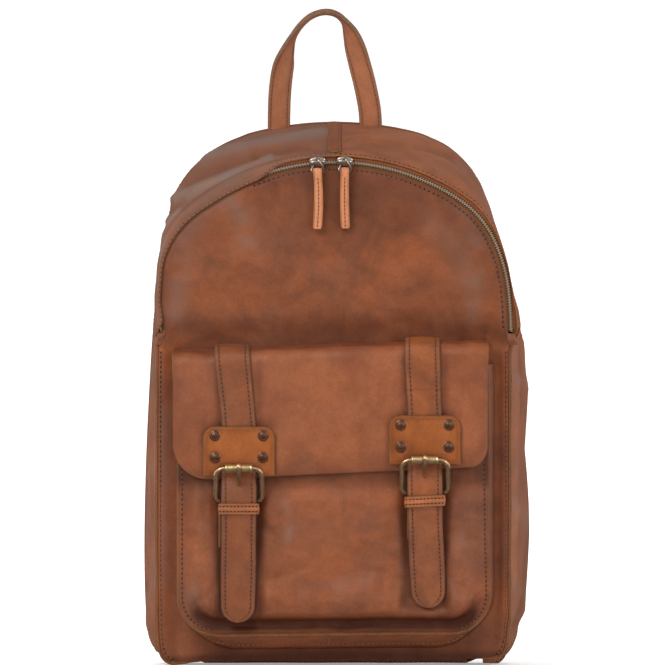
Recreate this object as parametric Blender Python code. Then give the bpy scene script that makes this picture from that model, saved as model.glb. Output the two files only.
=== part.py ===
"""Leather backpack: arched main compartment with a two-way zip, front pocket under a buckled flap,
grab handle, padded shoulder straps. Metres, +Z up, +X right, the front faces -Y,
origin at the centre of the underside of the base.

Dimensions are in millimetres; build_mesh() turns them into metres.
"""

import math

import bmesh
import bpy
from mathutils import Matrix, Vector

for old in list(bpy.data.objects):
    bpy.data.objects.remove(old, do_unlink=True)

MM = 0.001
WORLD = (0, 0, 0)

# ---------------------------------------------------------------- driving dimensions, mm
LEATHER = 2.5

# Depths. "Forwards" values are measured along -Y.
BACK_FACE_Y = 52.0  # outer face of the back panel
BACK_PANEL_T = 3.0
FRONT_FACE = 52.5  # outer face of the front panel, forwards
FRONT_LINE_Y = -50.0  # plane of the FRONT outline
SURROUND_FRONT_Y = -49.7  # front edge of the side gussets and the base
TOP_GUSSET_FRONT_Y = -51.6
SURROUND_BACK_Y = 48.65  # back edge of the gussets and the base

# Upper front panel and zip
FOLD_Z = 243.0  # line about which the zipped upper front panel opens
FOLD_GAP = 1.0  # each front panel stops this far from the fold
ARC_R, ARC_Z = 167.0, 209.0  # top arc of the zip
EDGE_ROOM = 1.5  # gusset edge outside the front line, below the zip
ZIP_ROOM = 7.0  # the same, outside the zip centre line
SLIDER_X = {"left": -13.5, "right": 7.0}
SLIDER_BACK, SLIDER_FRONT = 51.6, 53.6  # slider body, forwards
PULL_RING_Y = -58.1
PULL_DROP = 6.65  # top of a leather pull below the zip arc

# Pocket and flap
POCKET_FACE = 88.0  # forwards
POCKET_HALF_W = 118.5
POCKET_LOW, POCKET_TOP, POCKET_R = 17.0, 224.0, 34.0
FLAP_AXIS_Y, FLAP_AXIS_Z = -90.9, 234.0
FLAP_AXIS = (0, FLAP_AXIS_Y, FLAP_AXIS_Z)
FLAP_T = 2.8
FLAP_OUT = FLAP_T / 2 - FLAP_AXIS_Y  # the flap's outer face, forwards
FLAP_HALF_W, FLAP_R = 119.5, 26.0
FLAP_TOP = FLAP_AXIS_Z + 1.2
FLAP_EDGE_Z, FLAP_EDGE_SLOPE = 143.8, 0.045  # lower edge at x = 0, rise per mm of x

# Flap straps and buckles. "Up" is from the flap edge, "out" from the flap face.
FLAP_STRAP_X = {"left": -72.0, "right": 66.5}
STRAP_W, STRAP_T = 26.0, 2.4
HEEL_UP, HEEL_OUT = -17.6, 1.6  # heel bar of the buckle
TOP_UP, TOP_OUT = 6.9, 9.6  # top bar of the buckle
BUCKLE_WIRE_R = 1.6
BAR_BORE_R = 1.95  # hole in whatever turns on a buckle bar
ROLLER_R = 3.05
SNAP_UP = -38

HANDLE_X, HANDLE_Y, HANDLE_Z = -8.0, 47.0, 410.8  # middle of the grab handle's foot

# Back straps
YOKE_BACK_Y = 52.35  # face of the yoke and anchors towards the back panel
ADJUSTER_CENTRE = (80.5, 64.0, 142.0)  # x is mirrored for the left
ADJUSTER_LEAN = math.radians(9.0)
ADJUSTER_HALF_H = 12


# ---------------------------------------------------------------- materials and collections
def new_collection(name):
    collection = bpy.data.collections.new(name)
    bpy.context.scene.collection.children.link(collection)
    return collection


bag = new_collection("leather_backpack")
cutters = new_collection("cutters")

# Finish: base colour, roughness, metallic
FINISHES = {
    "body": ((0.30, 0.118, 0.052), 0.45, 0.0),
    "dark": ((0.20, 0.078, 0.036), 0.5, 0.0),
    "light": ((0.40, 0.165, 0.075), 0.45, 0.0),
    "cloth": ((0.10, 0.075, 0.055), 0.9, 0.0),
    "tape": ((0.16, 0.09, 0.045), 0.8, 0.0),
    "brass": ((0.33, 0.22, 0.09), 0.35, 1.0),
    "iron": ((0.12, 0.09, 0.07), 0.4, 1.0),
}


def new_material(name, finish):
    colour, roughness, metallic = FINISHES[finish]
    material = bpy.data.materials.new(name)
    material.use_nodes = True
    shader = material.node_tree.nodes["Principled BSDF"]
    shader.inputs["Base Color"].default_value = (*colour, 1.0)
    shader.inputs["Roughness"].default_value = roughness
    shader.inputs["Metallic"].default_value = metallic
    return material


# ---------------------------------------------------------------- mesh helpers
def build_mesh(name, points, faces, origin):
    """A mesh in metres about the origin, welded and with its normals outwards."""
    mesh = bpy.data.meshes.new(name)
    mesh.from_pydata([(Vector(point) - origin) * MM for point in points], [], faces)
    work = bmesh.new()
    work.from_mesh(mesh)
    bmesh.ops.remove_doubles(work, verts=work.verts, dist=1e-7)
    bmesh.ops.recalc_face_normals(work, faces=work.faces)
    if work.calc_volume(signed=True) < 0:
        bmesh.ops.reverse_faces(work, faces=work.faces)
    work.to_mesh(mesh)
    work.free()
    return mesh


def make(name, points, faces, finish=None, origin=WORLD):
    """A piece of the bag, or a hidden boolean helper when it has no finish."""
    origin = Vector(origin)
    mesh = build_mesh(name, points, faces, origin)
    obj = bpy.data.objects.new(name, mesh)
    obj.location = origin * MM
    if finish is None:
        cutters.objects.link(obj)
        obj.hide_render = True
        obj.display_type = "WIRE"
        return obj
    bag.objects.link(obj)
    mesh.materials.append(new_material(name, finish))
    for face in mesh.polygons:
        face.use_smooth = True
    mesh.set_sharp_from_angle(angle=math.radians(35))
    return obj


def loft(name, rings, finish=None, closed=False, origin=WORLD):
    """A skin over rings of equal point count, with end caps unless it closes on itself."""
    size, count = len(rings[0]), len(rings)
    points = [point for ring in rings for point in ring]
    faces = []
    for i in range(count if closed else count - 1):
        here, there = i * size, ((i + 1) % count) * size
        for j in range(size):
            k = (j + 1) % size
            faces.append((here + j, here + k, there + k, there + j))
    if not closed:
        faces.append(tuple(range(size)))
        faces.append(tuple((count - 1) * size + j for j in range(size)))
    return make(name, points, faces, finish, origin)


def prism(name, outline, place, low, high, finish=None, origin=WORLD):
    """An outline (first, second) pushed from low to high; place(first, second, depth) sets it."""
    rings = [[place(*point, depth) for point in outline] for depth in (low, high)]
    return loft(name, rings, finish, origin=origin)


# Places for prism outlines
def flat(x, y, up):
    return (x, y, up)


def upright(x, z, back):
    return (x, back, z)


def forward(x, z, forwards):
    return (x, -forwards, z)


def sideways(y, z, right):
    return (right, y, z)


def sheet(name, outer, inner, finish, closed=False, middle=False):
    """A sheet between two grids of points, walled along its border.

    closed joins each row's end to its start; middle fills the last row with a flat face.
    """
    rows, cols = len(outer), len(outer[0])
    points = [point for row in outer + inner for point in row]
    half = rows * cols
    faces = []

    def add_to_both_skins(face):
        faces.append(tuple(face))
        faces.append(tuple(half + i for i in reversed(face)))

    for i in range(rows - 1):
        for j in range(cols if closed else cols - 1):
            k = (j + 1) % cols
            here, there = i * cols, (i + 1) * cols
            add_to_both_skins((here + j, here + k, there + k, there + j))
    last = (rows - 1) * cols
    if middle:
        add_to_both_skins([last + j for j in range(cols)])
    border = list(range(cols))
    if not closed:
        border += [i * cols + cols - 1 for i in range(1, rows)]
        if not middle:
            border += [last + j for j in range(cols - 2, 0, -1)]
        border += [i * cols for i in range(rows - 1, 0, -1)]
    for i, j in zip(border, border[1:] + border[:1]):
        faces.append((i, half + i, half + j, j))
    return make(name, points, faces, finish)


def turned(name, centre, axis, profile, sides, finish=None, origin=WORLD):
    """A turned piece: profile is (radius, distance along axis) from one end to the other."""
    axis, centre = Vector(axis), Vector(centre)
    first = axis.orthogonal().normalized()
    second = axis.cross(first)
    angles = [2 * math.pi * k / sides for k in range(sides)]
    rings = [
        [
            centre + axis * distance + (first * math.cos(w) + second * math.sin(w)) * radius
            for w in angles
        ]
        for radius, distance in profile
    ]
    return loft(name, rings, finish, origin=origin)


def wire_loop(name, path, radius, finish, sides, origin):
    """A round bar along a closed path of 3-D points."""
    points = [Vector(point) for point in path]
    count = len(points)
    tangents = [(points[(i + 1) % count] - points[i - 1]).normalized() for i in range(count)]
    first_normal = normal = tangents[0].orthogonal().normalized()
    rings = []
    for point, along in zip(points, tangents):
        normal = (normal - along * normal.dot(along)).normalized()
        aside = along.cross(normal)
        angles = (2 * math.pi * k / sides for k in range(sides))
        rings.append(
            [point + (normal * math.cos(w) + aside * math.sin(w)) * radius for w in angles]
        )
    # Turns each ring a little, so that the last one meets the first.
    along = tangents[0]
    carried = (normal - along * normal.dot(along)).normalized()
    twist = math.atan2(along.dot(carried.cross(first_normal)), carried.dot(first_normal))
    for i, point in enumerate(points):
        turn = Matrix.Rotation(twist * i / count, 3, tangents[i])
        rings[i] = [point + turn @ (corner - point) for corner in rings[i]]
    return loft(name, rings, finish, closed=True, origin=origin)


def box_cutter(name, low, high):
    (x0, y0, z0), (x1, y1, z1) = low, high
    return prism(name, [(x0, y0), (x1, y0), (x1, y1), (x0, y1)], flat, z0, z1)


def boolean(obj, tool, name, operation):
    modifier = obj.modifiers.new(name, "BOOLEAN")
    modifier.object = tool
    modifier.operation = operation
    modifier.solver = "EXACT"


def cut(obj, cutter):
    boolean(obj, cutter, "cut_" + cutter.name, "DIFFERENCE")


# ---------------------------------------------------------------- curve helpers
def spline(before, start, end, after, t):
    """Catmull-Rom point at fraction t between start and end."""
    return tuple(
        0.5 * (2 * b + (c - a) * t + (2 * a - 5 * b + 4 * c - d) * t**2
               + (3 * b - a - 3 * c + d) * t**3)
        for a, b, c, d in zip(before, start, end, after)
    )


def spline_slope(before, start, end, after, t):
    return tuple(
        0.5 * ((c - a) + 2 * (2 * a - 5 * b + 4 * c - d) * t
               + 3 * (3 * b - a - 3 * c + d) * t**2)
        for a, b, c, d in zip(before, start, end, after)
    )


def smooth_run(points, steps):
    """A smooth run through the points, with the given steps to a span."""
    padded = [points[0], *points, points[-1]]
    run = [
        spline(*padded[i : i + 4], step / steps)
        for i in range(len(points) - 1)
        for step in range(steps)
    ]
    return run + [tuple(points[-1])]


def arc_points(centre, radius, start, sweep, steps):
    """Points along an arc; angles in degrees from the first axis towards the second."""
    angles = [math.radians(start + sweep * i / steps) for i in range(steps + 1)]
    return [
        (centre[0] + radius * math.cos(w), centre[1] + radius * math.sin(w)) for w in angles
    ]


def mirrored(points):
    """The points with x negated, in reverse order."""
    return [(-x, z) for x, z in reversed(points)]


def mix(start, end, fraction):
    return tuple(a + (b - a) * fraction for a, b in zip(start, end))


def tangent(points, i):
    """Direction of an open run at point i."""
    before = Vector(points[max(i - 1, 0)])
    after = Vector(points[min(i + 1, len(points) - 1)])
    return (after - before).normalized()


def rounded_u(half_width, low, top, radius, inset=0.0):
    """A run from top left, down, round the bottom corners and up to top right."""
    x, low, radius = half_width - inset, low + inset, radius - inset
    left = [(-x, top), (-x, (top * 2 + low) / 3), (-x, (top + 2 * low) / 3)]
    left += arc_points((radius - x, low + radius), radius, 180, 90, 7)
    left.append((-(x - radius) / 3, low))
    return left + mirrored(left)


def chamfered_ring(centre, wide, thin, half_width, chamfer, half_thick, edge_half_thick):
    """Eight-sided strap section, thinner along its two edges."""
    inner_width = half_width - chamfer
    corners = [(half_width, edge_half_thick), (inner_width, half_thick)]
    corners += mirrored(corners)
    corners += [(-across, -out) for across, out in corners]
    return [centre + wide * across + thin * out for across, out in corners]


# ---------------------------------------------------------------- body outlines
def zip_arc(degrees):
    angle = math.radians(degrees)
    return (ARC_R * math.sin(angle), ARC_Z + ARC_R * math.cos(angle))


# Half outlines (x, z) from the middle of the base round to the middle of the top,
# matched point for point. Places on them are given as t, the fractional point index.
FRONT = [
    (0, 0), (60, 0), (110, 0), (122.5, 1.8), (129, 8.8), (131.2, 27), (131.8, 80),
    (132, 140), (132, 200), (131.5, 245), (129.6, 270), (126.6, 290), (121.6, 309),
    (114.3, 325.5), (103.3, 339.5),
    *(zip_arc(degrees) for degrees in (32, 25.6, 19.2, 12.8, 6.4, 0)),
]
BACK = [
    (0, 0), (60, 0), (118, 0), (132, 2.8), (140.5, 12), (144, 32), (145.3, 85),
    (144, 150), (141.5, 205), (139, 247), (136, 275), (131.5, 303), (126, 325),
    (117.5, 348), (104.5, 371.5), (87, 388.5), (67.5, 397.8), (50, 402.4),
    (33, 405.2), (16.5, 406.9), (0, 407.4),
]
BASE_END_T = 2  # end of the flat base
ZIP_START_T = 8.0  # the gusset starts to widen for the zip
TOP_GUSSET_T = 9.0
TOP_T = len(FRONT) - 1.0


def half_run(outline, start, end, steps=2):
    """Stations (t, (x, z), outward normal) along a half outline, with steps to a span."""
    (x1, z1), (x2, z2) = outline[1], outline[-2]
    padded = [(-x1, z1), *outline, (-x2, z2)]
    count = round((end - start) * steps)
    stations = []
    for i in range(count + 1):
        t = start + (end - start) * i / count
        span = min(int(t), len(outline) - 2)
        controls = padded[span : span + 4]
        x, z = spline(*controls, t - span)
        slope_x, slope_z = spline_slope(*controls, t - span)
        z = max(z, 0.0)
        if t <= BASE_END_T:
            z = 0.0
            slope_x, slope_z = 1.0, 0.0
        if t >= TOP_T - 1e-9:
            slope_x, slope_z = -1.0, 0.0
        length = math.hypot(slope_x, slope_z)
        stations.append((t, (x, z), (slope_z / length, -slope_x / length)))
    return stations


def shifted(station, distance):
    """The station's (x, z) moved outwards."""
    _, (x, z), (normal_x, normal_z) = station
    return (x + normal_x * distance, z + normal_z * distance)


def edge_room(t):
    """How far the gusset's front edge stands outside the front line: more where the zip runs."""
    rise = min(max(t - ZIP_START_T, 0.0), 1.0)
    return EDGE_ROOM + (ZIP_ROOM - EDGE_ROOM) * rise * rise * (3 - 2 * rise)


# ---------------------------------------------------------------- shell
def gusset(name, side, start, end, front_y):
    """A strip of the surround, from the front edge to the back panel."""
    skins = []
    for offset in (0.0, -LEATHER):
        grid = []
        for front, back in zip(half_run(FRONT, start, end), half_run(BACK, start, end)):
            front_x, front_z = shifted(front, edge_room(front[0]) + offset)
            back_x, back_z = shifted(back, offset)
            front_point = (side * front_x, front_y, front_z)
            back_point = (side * back_x, SURROUND_BACK_Y, back_z)
            grid.append([mix(front_point, back_point, v) for v in (0.0, 0.33, 0.67, 1.0)])
        skins.append(grid)
    sheet(name, *skins, "body")


for side, sign in (("left", -1), ("right", 1)):
    gusset("side_gusset_" + side, sign, 2.02, 8.96, SURROUND_FRONT_Y)
    gusset("top_gusset_" + side, sign, TOP_GUSSET_T, TOP_T - 0.02, TOP_GUSSET_FRONT_Y)


def floor_sheet(name, front, back, low, high, finish):
    """A flat trapezium; front and back are (half width, y)."""
    (front_x, front_y), (back_x, back_y) = front, back
    outline = [(-front_x, front_y), (front_x, front_y), (back_x, back_y), (-back_x, back_y)]
    prism(name, outline, flat, low, high, finish)


floor_sheet(
    "base_panel", (109.6, SURROUND_FRONT_Y), (117.6, SURROUND_BACK_Y), 0.0, LEATHER, "dark"
)
# A board inside, just above the base panel.
floor_sheet("base_board", (92, -44), (103, 43), 2.9, 4.7, "cloth")


def back_panel():
    right = [shifted(station, 0.0) for station in half_run(BACK, 0.0, TOP_T)]
    outline = right + mirrored(right)[1:-1]
    prism("back_panel", outline, upright, BACK_FACE_Y - BACK_PANEL_T, BACK_FACE_Y, "body")


def front_panel_lower():
    """The front panel below the fold, behind the pocket."""
    top = FOLD_Z - FOLD_GAP
    right = [shifted(station, EDGE_ROOM) for station in half_run(FRONT, 0, 8.94)]
    right = [(x, max(z, 0.0)) for x, z in right if z <= top] + [(133.4, top)]
    outline = right + mirrored(right)[:-1]
    prism("front_panel_lower", outline, forward, FRONT_FACE - LEATHER, FRONT_FACE, "body")


def front_panel_upper():
    """The front panel above the fold: the arch inside the zip, slightly full."""
    middle_z = 303
    bottom = FOLD_Z + FOLD_GAP
    curve = [shifted(station, -3.4) for station in half_run(FRONT, TOP_GUSSET_T, TOP_T)]
    right = [(x, bottom) for x in (0.0, 43.0, 86.0, 128.4)]
    right += [(x, z) for x, z in curve if z > FOLD_Z + 3]
    arch = right + mirrored(right)[1:-1]
    skins = []
    for depth in (FRONT_FACE, FRONT_FACE - LEATHER):
        skins.append([
            [(x * scale, -(depth + bulge), middle_z + (z - middle_z) * scale) for x, z in arch]
            for scale, bulge in ((1.0, 0.0), (0.93, 1.1), (0.8, 2.2), (0.55, 3.0))
        ])
    sheet("front_panel_upper", *skins, "body", closed=True, middle=True)


back_panel()
front_panel_lower()
front_panel_upper()


# ---------------------------------------------------------------- zip
def zip_half(name, direction, reach):
    """Half of the zip: teeth bead by the centre line, tape beside it.

    direction is +1 outside the arch, -1 inside; reach is the tape's far edge.
    """
    bead_near, bead_far = 0.15, 2.6
    bead_y, tape_front_y, tape_back_y = -51.2, -49.6, -48.65
    section = [
        (bead_near, bead_y), (bead_far, bead_y), (bead_far, tape_front_y),
        (reach, tape_front_y), (reach, tape_back_y), (bead_near, tape_back_y),
    ]
    run = half_run(FRONT, 9.15, TOP_T, steps=3)
    path = [(station, 1) for station in run]
    path += [(station, -1) for station in reversed(run[:-1])]
    rings = []
    for station, side in path:
        ring = []
        for distance, y in section:
            x, z = shifted(station, distance * direction)
            ring.append((side * x, y, z))
        rings.append(ring)
    loft(name, rings, "tape")


zip_half("zip_chain_rear", 1, 4.2)
zip_half("zip_chain_front", -1, 10.0)


# ---------------------------------------------------------------- lining
def body_ring(y, offset):
    """A ring of the surround at depth y, offset outwards."""
    right = []
    for front, back in zip(half_run(FRONT, 0, TOP_T), half_run(BACK, 0, TOP_T)):
        t = front[0]
        front_x, front_z = shifted(front, edge_room(t) + offset)
        back_x, back_z = shifted(back, offset)
        if t <= BASE_END_T:
            front_z = back_z  # keeps the floor level
        fraction = (y - FRONT_LINE_Y) / (SURROUND_BACK_Y - FRONT_LINE_Y)
        x, z = mix((front_x, front_z), (back_x, back_z), fraction)
        right.append((x, y, max(z, 0.0)))
    return right + [(-x, y, z) for x, _, z in reversed(right)][1:-1]


def lining():
    """A thin shell, open at the front above the fold."""
    room_front_y = -47.4
    shell = loft("lining", [body_ring(-48.2, -5.2), body_ring(48.6, -5.2)], "cloth")
    cut(shell, loft("lining_room", [body_ring(room_front_y, -6.1), body_ring(47.8, -6.1)]))
    mouth = [(x, z) for x, _, z in body_ring(room_front_y, -6.4) if z > FOLD_Z + 2]
    mouth.sort(key=lambda point: math.atan2(point[1] - FOLD_Z, point[0]))
    mouth = [(mouth[0][0], FOLD_Z), *mouth, (mouth[-1][0], FOLD_Z)]
    cut(shell, prism("lining_mouth", mouth, upright, -60.0, -30.0))


lining()


# ---------------------------------------------------------------- front pocket
def pocket_run(inset):
    return rounded_u(POCKET_HALF_W, POCKET_LOW, POCKET_TOP, POCKET_R, inset)


def pocket_face():
    # Inset from the pocket's outline, distance forwards
    profile = [(0.0, 82.6), (1.6, 84.6), (5.0, 86.6), (10.0, 87.7), (16.0, POCKET_FACE)]
    skins = [
        [[(x, thick - depth, z) for x, z in pocket_run(inset)] for inset, depth in profile]
        for thick in (0.0, LEATHER)
    ]
    sheet("pocket_face", *skins, "body", middle=True)


def pocket_gusset():
    skins = [
        [[(x, y, z) for y in (-52.85, -66.0, -79.7)] for x, z in pocket_run(inset)]
        for inset in (0.0, LEATHER)
    ]
    sheet("pocket_gusset", *skins, "dark")


def flap_top():
    """The flap's top run, from the front panel forward to its fold."""
    half_thick = 1.3
    # y, z of the middle of the leather
    run = [(-53.0, 238.9), (-62.0, 238.7), (-74.0, 237.8), (-83.0, 236.5), (-88.4, 235.2)]
    section = [(y, z + half_thick) for y, z in run]
    section += [(y, z - half_thick) for y, z in reversed(run)]
    prism("flap_top", section, sideways, -FLAP_HALF_W, FLAP_HALF_W, "body")


def pocket_flap():
    """The hanging flap; its lower edge rises to the right."""
    height = FLAP_TOP - FLAP_EDGE_Z
    outline = [
        (x, z + FLAP_EDGE_SLOPE * x * (FLAP_TOP - z) / height)
        for x, z in rounded_u(FLAP_HALF_W, FLAP_EDGE_Z, FLAP_TOP, FLAP_R)
    ]
    return prism(
        "pocket_flap", outline, forward, FLAP_OUT - FLAP_T, FLAP_OUT, "body", origin=FLAP_AXIS
    )


pocket_face()
pocket_gusset()
flap_top()
flap = pocket_flap()


# ---------------------------------------------------------------- flap straps and buckles
# Each function takes the side and at(across, up, out), which places a point in the bag.
def flap_edge_z(x):
    return FLAP_EDGE_Z + FLAP_EDGE_SLOPE * x


def strap_place(centre_x):
    edge = flap_edge_z(centre_x)
    return lambda across, up, out: (centre_x + across, -(FLAP_OUT + out), edge + up)


def crosswise(at):
    """Prism place for (up, out) outlines pushed across the strap."""
    return lambda up, out, across: at(across, up, out)


def strip(name, at, path, finish, tip=()):
    """A flap strap along (up, out) points; tip lists half widths at the last points."""
    half_widths = [STRAP_W / 2] * (len(path) - len(tip)) + list(tip)
    rings = []
    for i, ((up, out), half_width) in enumerate(zip(path, half_widths)):
        along = tangent(path, i)
        rise, lift = -along[1] * STRAP_T / 2, along[0] * STRAP_T / 2
        rings.append([
            at(-half_width, up + rise, out + lift), at(half_width, up + rise, out + lift),
            at(half_width, up - rise, out - lift), at(-half_width, up - rise, out - lift),
        ])
    return loft(name, rings, finish, origin=FLAP_AXIS)


def upper_strap(side, at):
    """From the fold down to under the plate."""
    fold_up = FLAP_AXIS_Z - 1.0 - flap_edge_z(FLAP_STRAP_X[side])
    strip("upper_strap_" + side, at, [(fold_up, 1.5), (60, 1.5), (27.6, 1.5)], "body")


def rivet_plate(side, at):
    """Plate with rounded top corners and a notch for the strap."""
    half_width, top, radius = 26.5, 37.0, 9.0
    notch_half_width, notch_top, low = 14.2, 8.6, -0.2
    outline = [
        (-half_width, low), (-notch_half_width, low), (-notch_half_width, notch_top),
        (notch_half_width, notch_top), (notch_half_width, low), (half_width, low),
    ]
    outline += arc_points((half_width - radius, top - radius), radius, 0, 90, 5)
    outline += arc_points((radius - half_width, top - radius), radius, 90, 90, 5)
    return prism("rivet_plate_" + side, outline, at, 3.0, 5.2, "light", origin=FLAP_AXIS)


# Rivet from behind the flap to its head: radius, out
RIVET_PROFILE = [
    (2.9, -3.9), (2.9, -3.15), (1.3, -3.15), (1.3, 5.5), (3.9, 5.5), (3.9, 6.5),
    (3.1, 7.3), (2.3, 7.3), (1.9, 6.7),
]
RIVET_PLACES = [(-17.7, 30.8), (17.7, 30.8), (-17.7, 14.6), (17.7, 14.6)]  # across, up


def rivets(side, at, plate):
    """Rivets through the plate and the flap, each in its own holes."""
    hole = [(1.7, -7.0), (1.7, 7.0)]  # radius, distance along Y
    for number, (across, up) in enumerate(RIVET_PLACES, 1):
        tag = f"{side}_{number}"
        centre = at(across, up, 0.0)
        for target in (plate, flap):
            cut(target, turned(f"hole_{target.name}_{tag}", centre, (0, 1, 0), hole, 8))
        turned("rivet_" + tag, centre, (0, -1, 0), RIVET_PROFILE, 12, "iron", FLAP_AXIS)


# Middle of the tongue strap, from under the plate over the heel bar to its tip: up, out
TONGUE_PATH = [
    (27.0, 1.5), (14, 1.5), (8, 1.62), (0, 3.1), (-8, 5.3), (-14, 6.35), (-19, 6.35),
    (-25, 5.5), (-36, 4.0), (-48, 2.2), (-58, 0.4), (-68, -1.2), (-82, -2.0), (-96, -2.2),
    (-100.5, -2.2), (-104.5, -2.2), (-107.2, -2.2), (-109.0, -2.2),
]


def tongue_strap(side, at):
    """Strap with a narrowed tip and a slot for the prong."""
    tongue = strip(
        "tongue_strap_" + side, at, TONGUE_PATH, "body", tip=(12.6, 10.6, 7.6, 3.6)
    )
    cut(tongue, box_cutter("slot_" + side, at(-1.9, -16.3, 12.0), at(1.9, -3.8, -6.0)))


def keeper(side, at):
    """Loop round the strap and the buckle's tab."""
    low, high = -28.4, -20.1
    outer, inner = (15.2, -3.8, 9.6), (13.5, -2.3, 8.0)  # half width, out from, out to
    rings = []
    for up, (half_width, near, far) in ((low, outer), (low, inner), (high, inner), (high, outer)):
        rings.append([
            at(-half_width, up, near), at(half_width, up, near),
            at(half_width, up, far), at(-half_width, up, far),
        ])
    loft("keeper_" + side, rings, "light", closed=True, origin=FLAP_AXIS)


def buckle_tab(side, at):
    """Tab that wraps the heel bar and hangs behind the strap, slotted for the prong."""
    heel = (HEEL_UP, HEEL_OUT)
    outline = arc_points(heel, 3.3, 190, -280, 10)
    outline += [(-24, -1.5), (-27, -1.8), (-52, -1.8), (-52, -0.4), (-27, -0.4), (-23.4, -0.2)]
    outline += reversed(arc_points(heel, BAR_BORE_R, 190, -280, 10))
    tab = prism(
        "buckle_tab_" + side, outline, crosswise(at), -9.5, 9.5, "dark", origin=FLAP_AXIS
    )
    cut(tab, box_cutter("tab_slot_" + side, at(-2.6, -22.4, 14.0), at(2.6, -8.0, -5.0)))


def snap(side, at):
    """Magnetic snap below the buckle, behind the strap; profiles are (radius, out)."""
    centre = at(0, SNAP_UP, 0)
    stud = [(4.5, -2.85), (7.0, -2.7), (7.0, -2.1)]
    socket = [(8.0, -3.95), (8.0, -3.5), (6.8, -3.2)]
    turned("snap_stud_" + side, centre, (0, -1, 0), stud, 16, "iron", FLAP_AXIS)
    turned("snap_socket_" + side, centre, (0, -1, 0), socket, 16, "iron", centre)


def buckle_frame(side, at):
    """A rounded loop from the heel bar up to the top bar."""
    length = math.hypot(TOP_UP - HEEL_UP, TOP_OUT - HEEL_OUT)
    half_width, heel_r, top_r = 17.2, 4.0, 6.0
    # Across, distance from the heel bar
    loop = arc_points((half_width - heel_r, heel_r), heel_r, -90, 90, 5)
    loop.append((half_width, length * 0.5))
    loop += arc_points((half_width - top_r, length - top_r), top_r, 0, 90, 5)
    loop += arc_points((top_r - half_width, length - top_r), top_r, 90, 90, 5)
    loop.append((-half_width, length * 0.5))
    loop += arc_points((heel_r - half_width, heel_r), heel_r, 180, 90, 5)
    path = [
        at(across, *mix((HEEL_UP, HEEL_OUT), (TOP_UP, TOP_OUT), distance / length))
        for across, distance in loop
    ]
    wire_loop(
        "buckle_frame_" + side, path, BUCKLE_WIRE_R, "brass", sides=8,
        origin=at(0, HEEL_UP, HEEL_OUT),
    )


def roller(side, at):
    """Tube on the top bar."""
    x, y, z = at(0, TOP_UP, TOP_OUT)
    half_width, sides = 10.0, 14
    rings = []
    for across, radius in (
        (-half_width, ROLLER_R), (-half_width, BAR_BORE_R),
        (half_width, BAR_BORE_R), (half_width, ROLLER_R),
    ):
        angles = (2 * math.pi * i / sides for i in range(sides))
        rings.append(
            [(x + across, y + radius * math.cos(w), z + radius * math.sin(w)) for w in angles]
        )
    loft("roller_" + side, rings, "brass", closed=True, origin=(x, y, z))


def prong(side, at):
    """An eye round the heel bar and a bar that reaches over the roller."""
    heel = at(0, HEEL_UP, HEEL_OUT)
    rise = TOP_UP + 1.4 - HEEL_UP
    lift = TOP_OUT + ROLLER_R + 3.0 - HEEL_OUT
    length = math.hypot(rise, lift)
    rise, lift = rise / length, lift / length

    def beside(along, aside):
        return (
            HEEL_UP + rise * along - lift * aside,
            HEEL_OUT + lift * along + rise * aside,
        )

    direction = math.degrees(math.atan2(lift, rise))
    profile = arc_points((HEEL_UP, HEEL_OUT), 3.1, direction + 24, 312, 12)
    profile += [
        beside(length - 2.0, -1.1), beside(length, -0.5),
        beside(length, 0.5), beside(length - 2.0, 1.1),
    ]
    bar = prism("prong_" + side, profile, crosswise(at), -1.25, 1.25, "brass", origin=heel)
    bore = [(BAR_BORE_R, -6.0), (BAR_BORE_R, 6.0)]
    cut(bar, turned("eye_" + side, heel, (1, 0, 0), bore, 14))


for side, centre_x in FLAP_STRAP_X.items():
    at = strap_place(centre_x)
    upper_strap(side, at)
    rivets(side, at, rivet_plate(side, at))
    for build in (tongue_strap, keeper, buckle_tab, snap, buckle_frame, roller, prong):
        build(side, at)


# ---------------------------------------------------------------- zip sliders and pulls
def slider_place(slider_x):
    """Places (along the arc's tangent, y, outwards from the arc) at a slider."""
    angle = math.asin(slider_x / ARC_R)

    def place(along, y, outwards):
        radius = ARC_R + outwards
        return (
            radius * math.sin(angle) + along * math.cos(angle),
            y,
            ARC_Z + radius * math.cos(angle) - along * math.sin(angle),
        )

    return place


# Slider body: along, outwards
SLIDER_BODY = [
    (-6.2, -1.9), (-5.0, -3.0), (5.0, -3.0), (6.2, -1.9),
    (6.2, 3.6), (4.8, 4.8), (-4.8, 4.8), (-6.2, 3.6),
]
# Bridge over the body: along, forwards
SLIDER_BRIDGE = [
    (-5.9, 53.2), (-5.9, 58.6), (-5.0, 59.3), (5.0, 59.3), (5.9, 58.6),
    (5.9, 53.2), (4.4, 53.2), (4.4, 57.0), (-4.4, 57.0), (-4.4, 53.2),
]
# Pull ring, bent: x, y, z from the bridge
PULL_RING = [
    (-3.6, 0.0, -6.6), (0, 0.0, -6.7), (3.6, 0.0, -6.6), (4.4, -0.3, -5.2),
    (3.6, -1.5, -2.6), (1.9, -2.6, -0.2), (0.9, -2.1, 1.9), (0, 0, 2.9),
    (-0.9, 2.1, 1.9), (-1.9, 2.6, -0.2), (-3.6, 1.5, -2.6), (-4.4, 0.3, -5.2),
]


def zip_slider(side, place):
    """Slider body and the bridge over it, one casting."""
    slider = prism(
        "zip_slider_" + side, SLIDER_BODY,
        lambda along, outwards, forwards: place(along, -forwards, outwards),
        SLIDER_BACK, SLIDER_FRONT, "iron", origin=place(0, -SLIDER_BACK, 0),
    )
    bridge = prism(
        "bridge_" + side, SLIDER_BRIDGE,
        lambda along, forwards, outwards: place(along, -forwards, outwards),
        -1.3, 1.3,
    )
    boolean(slider, bridge, "bridge", "UNION")


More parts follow.
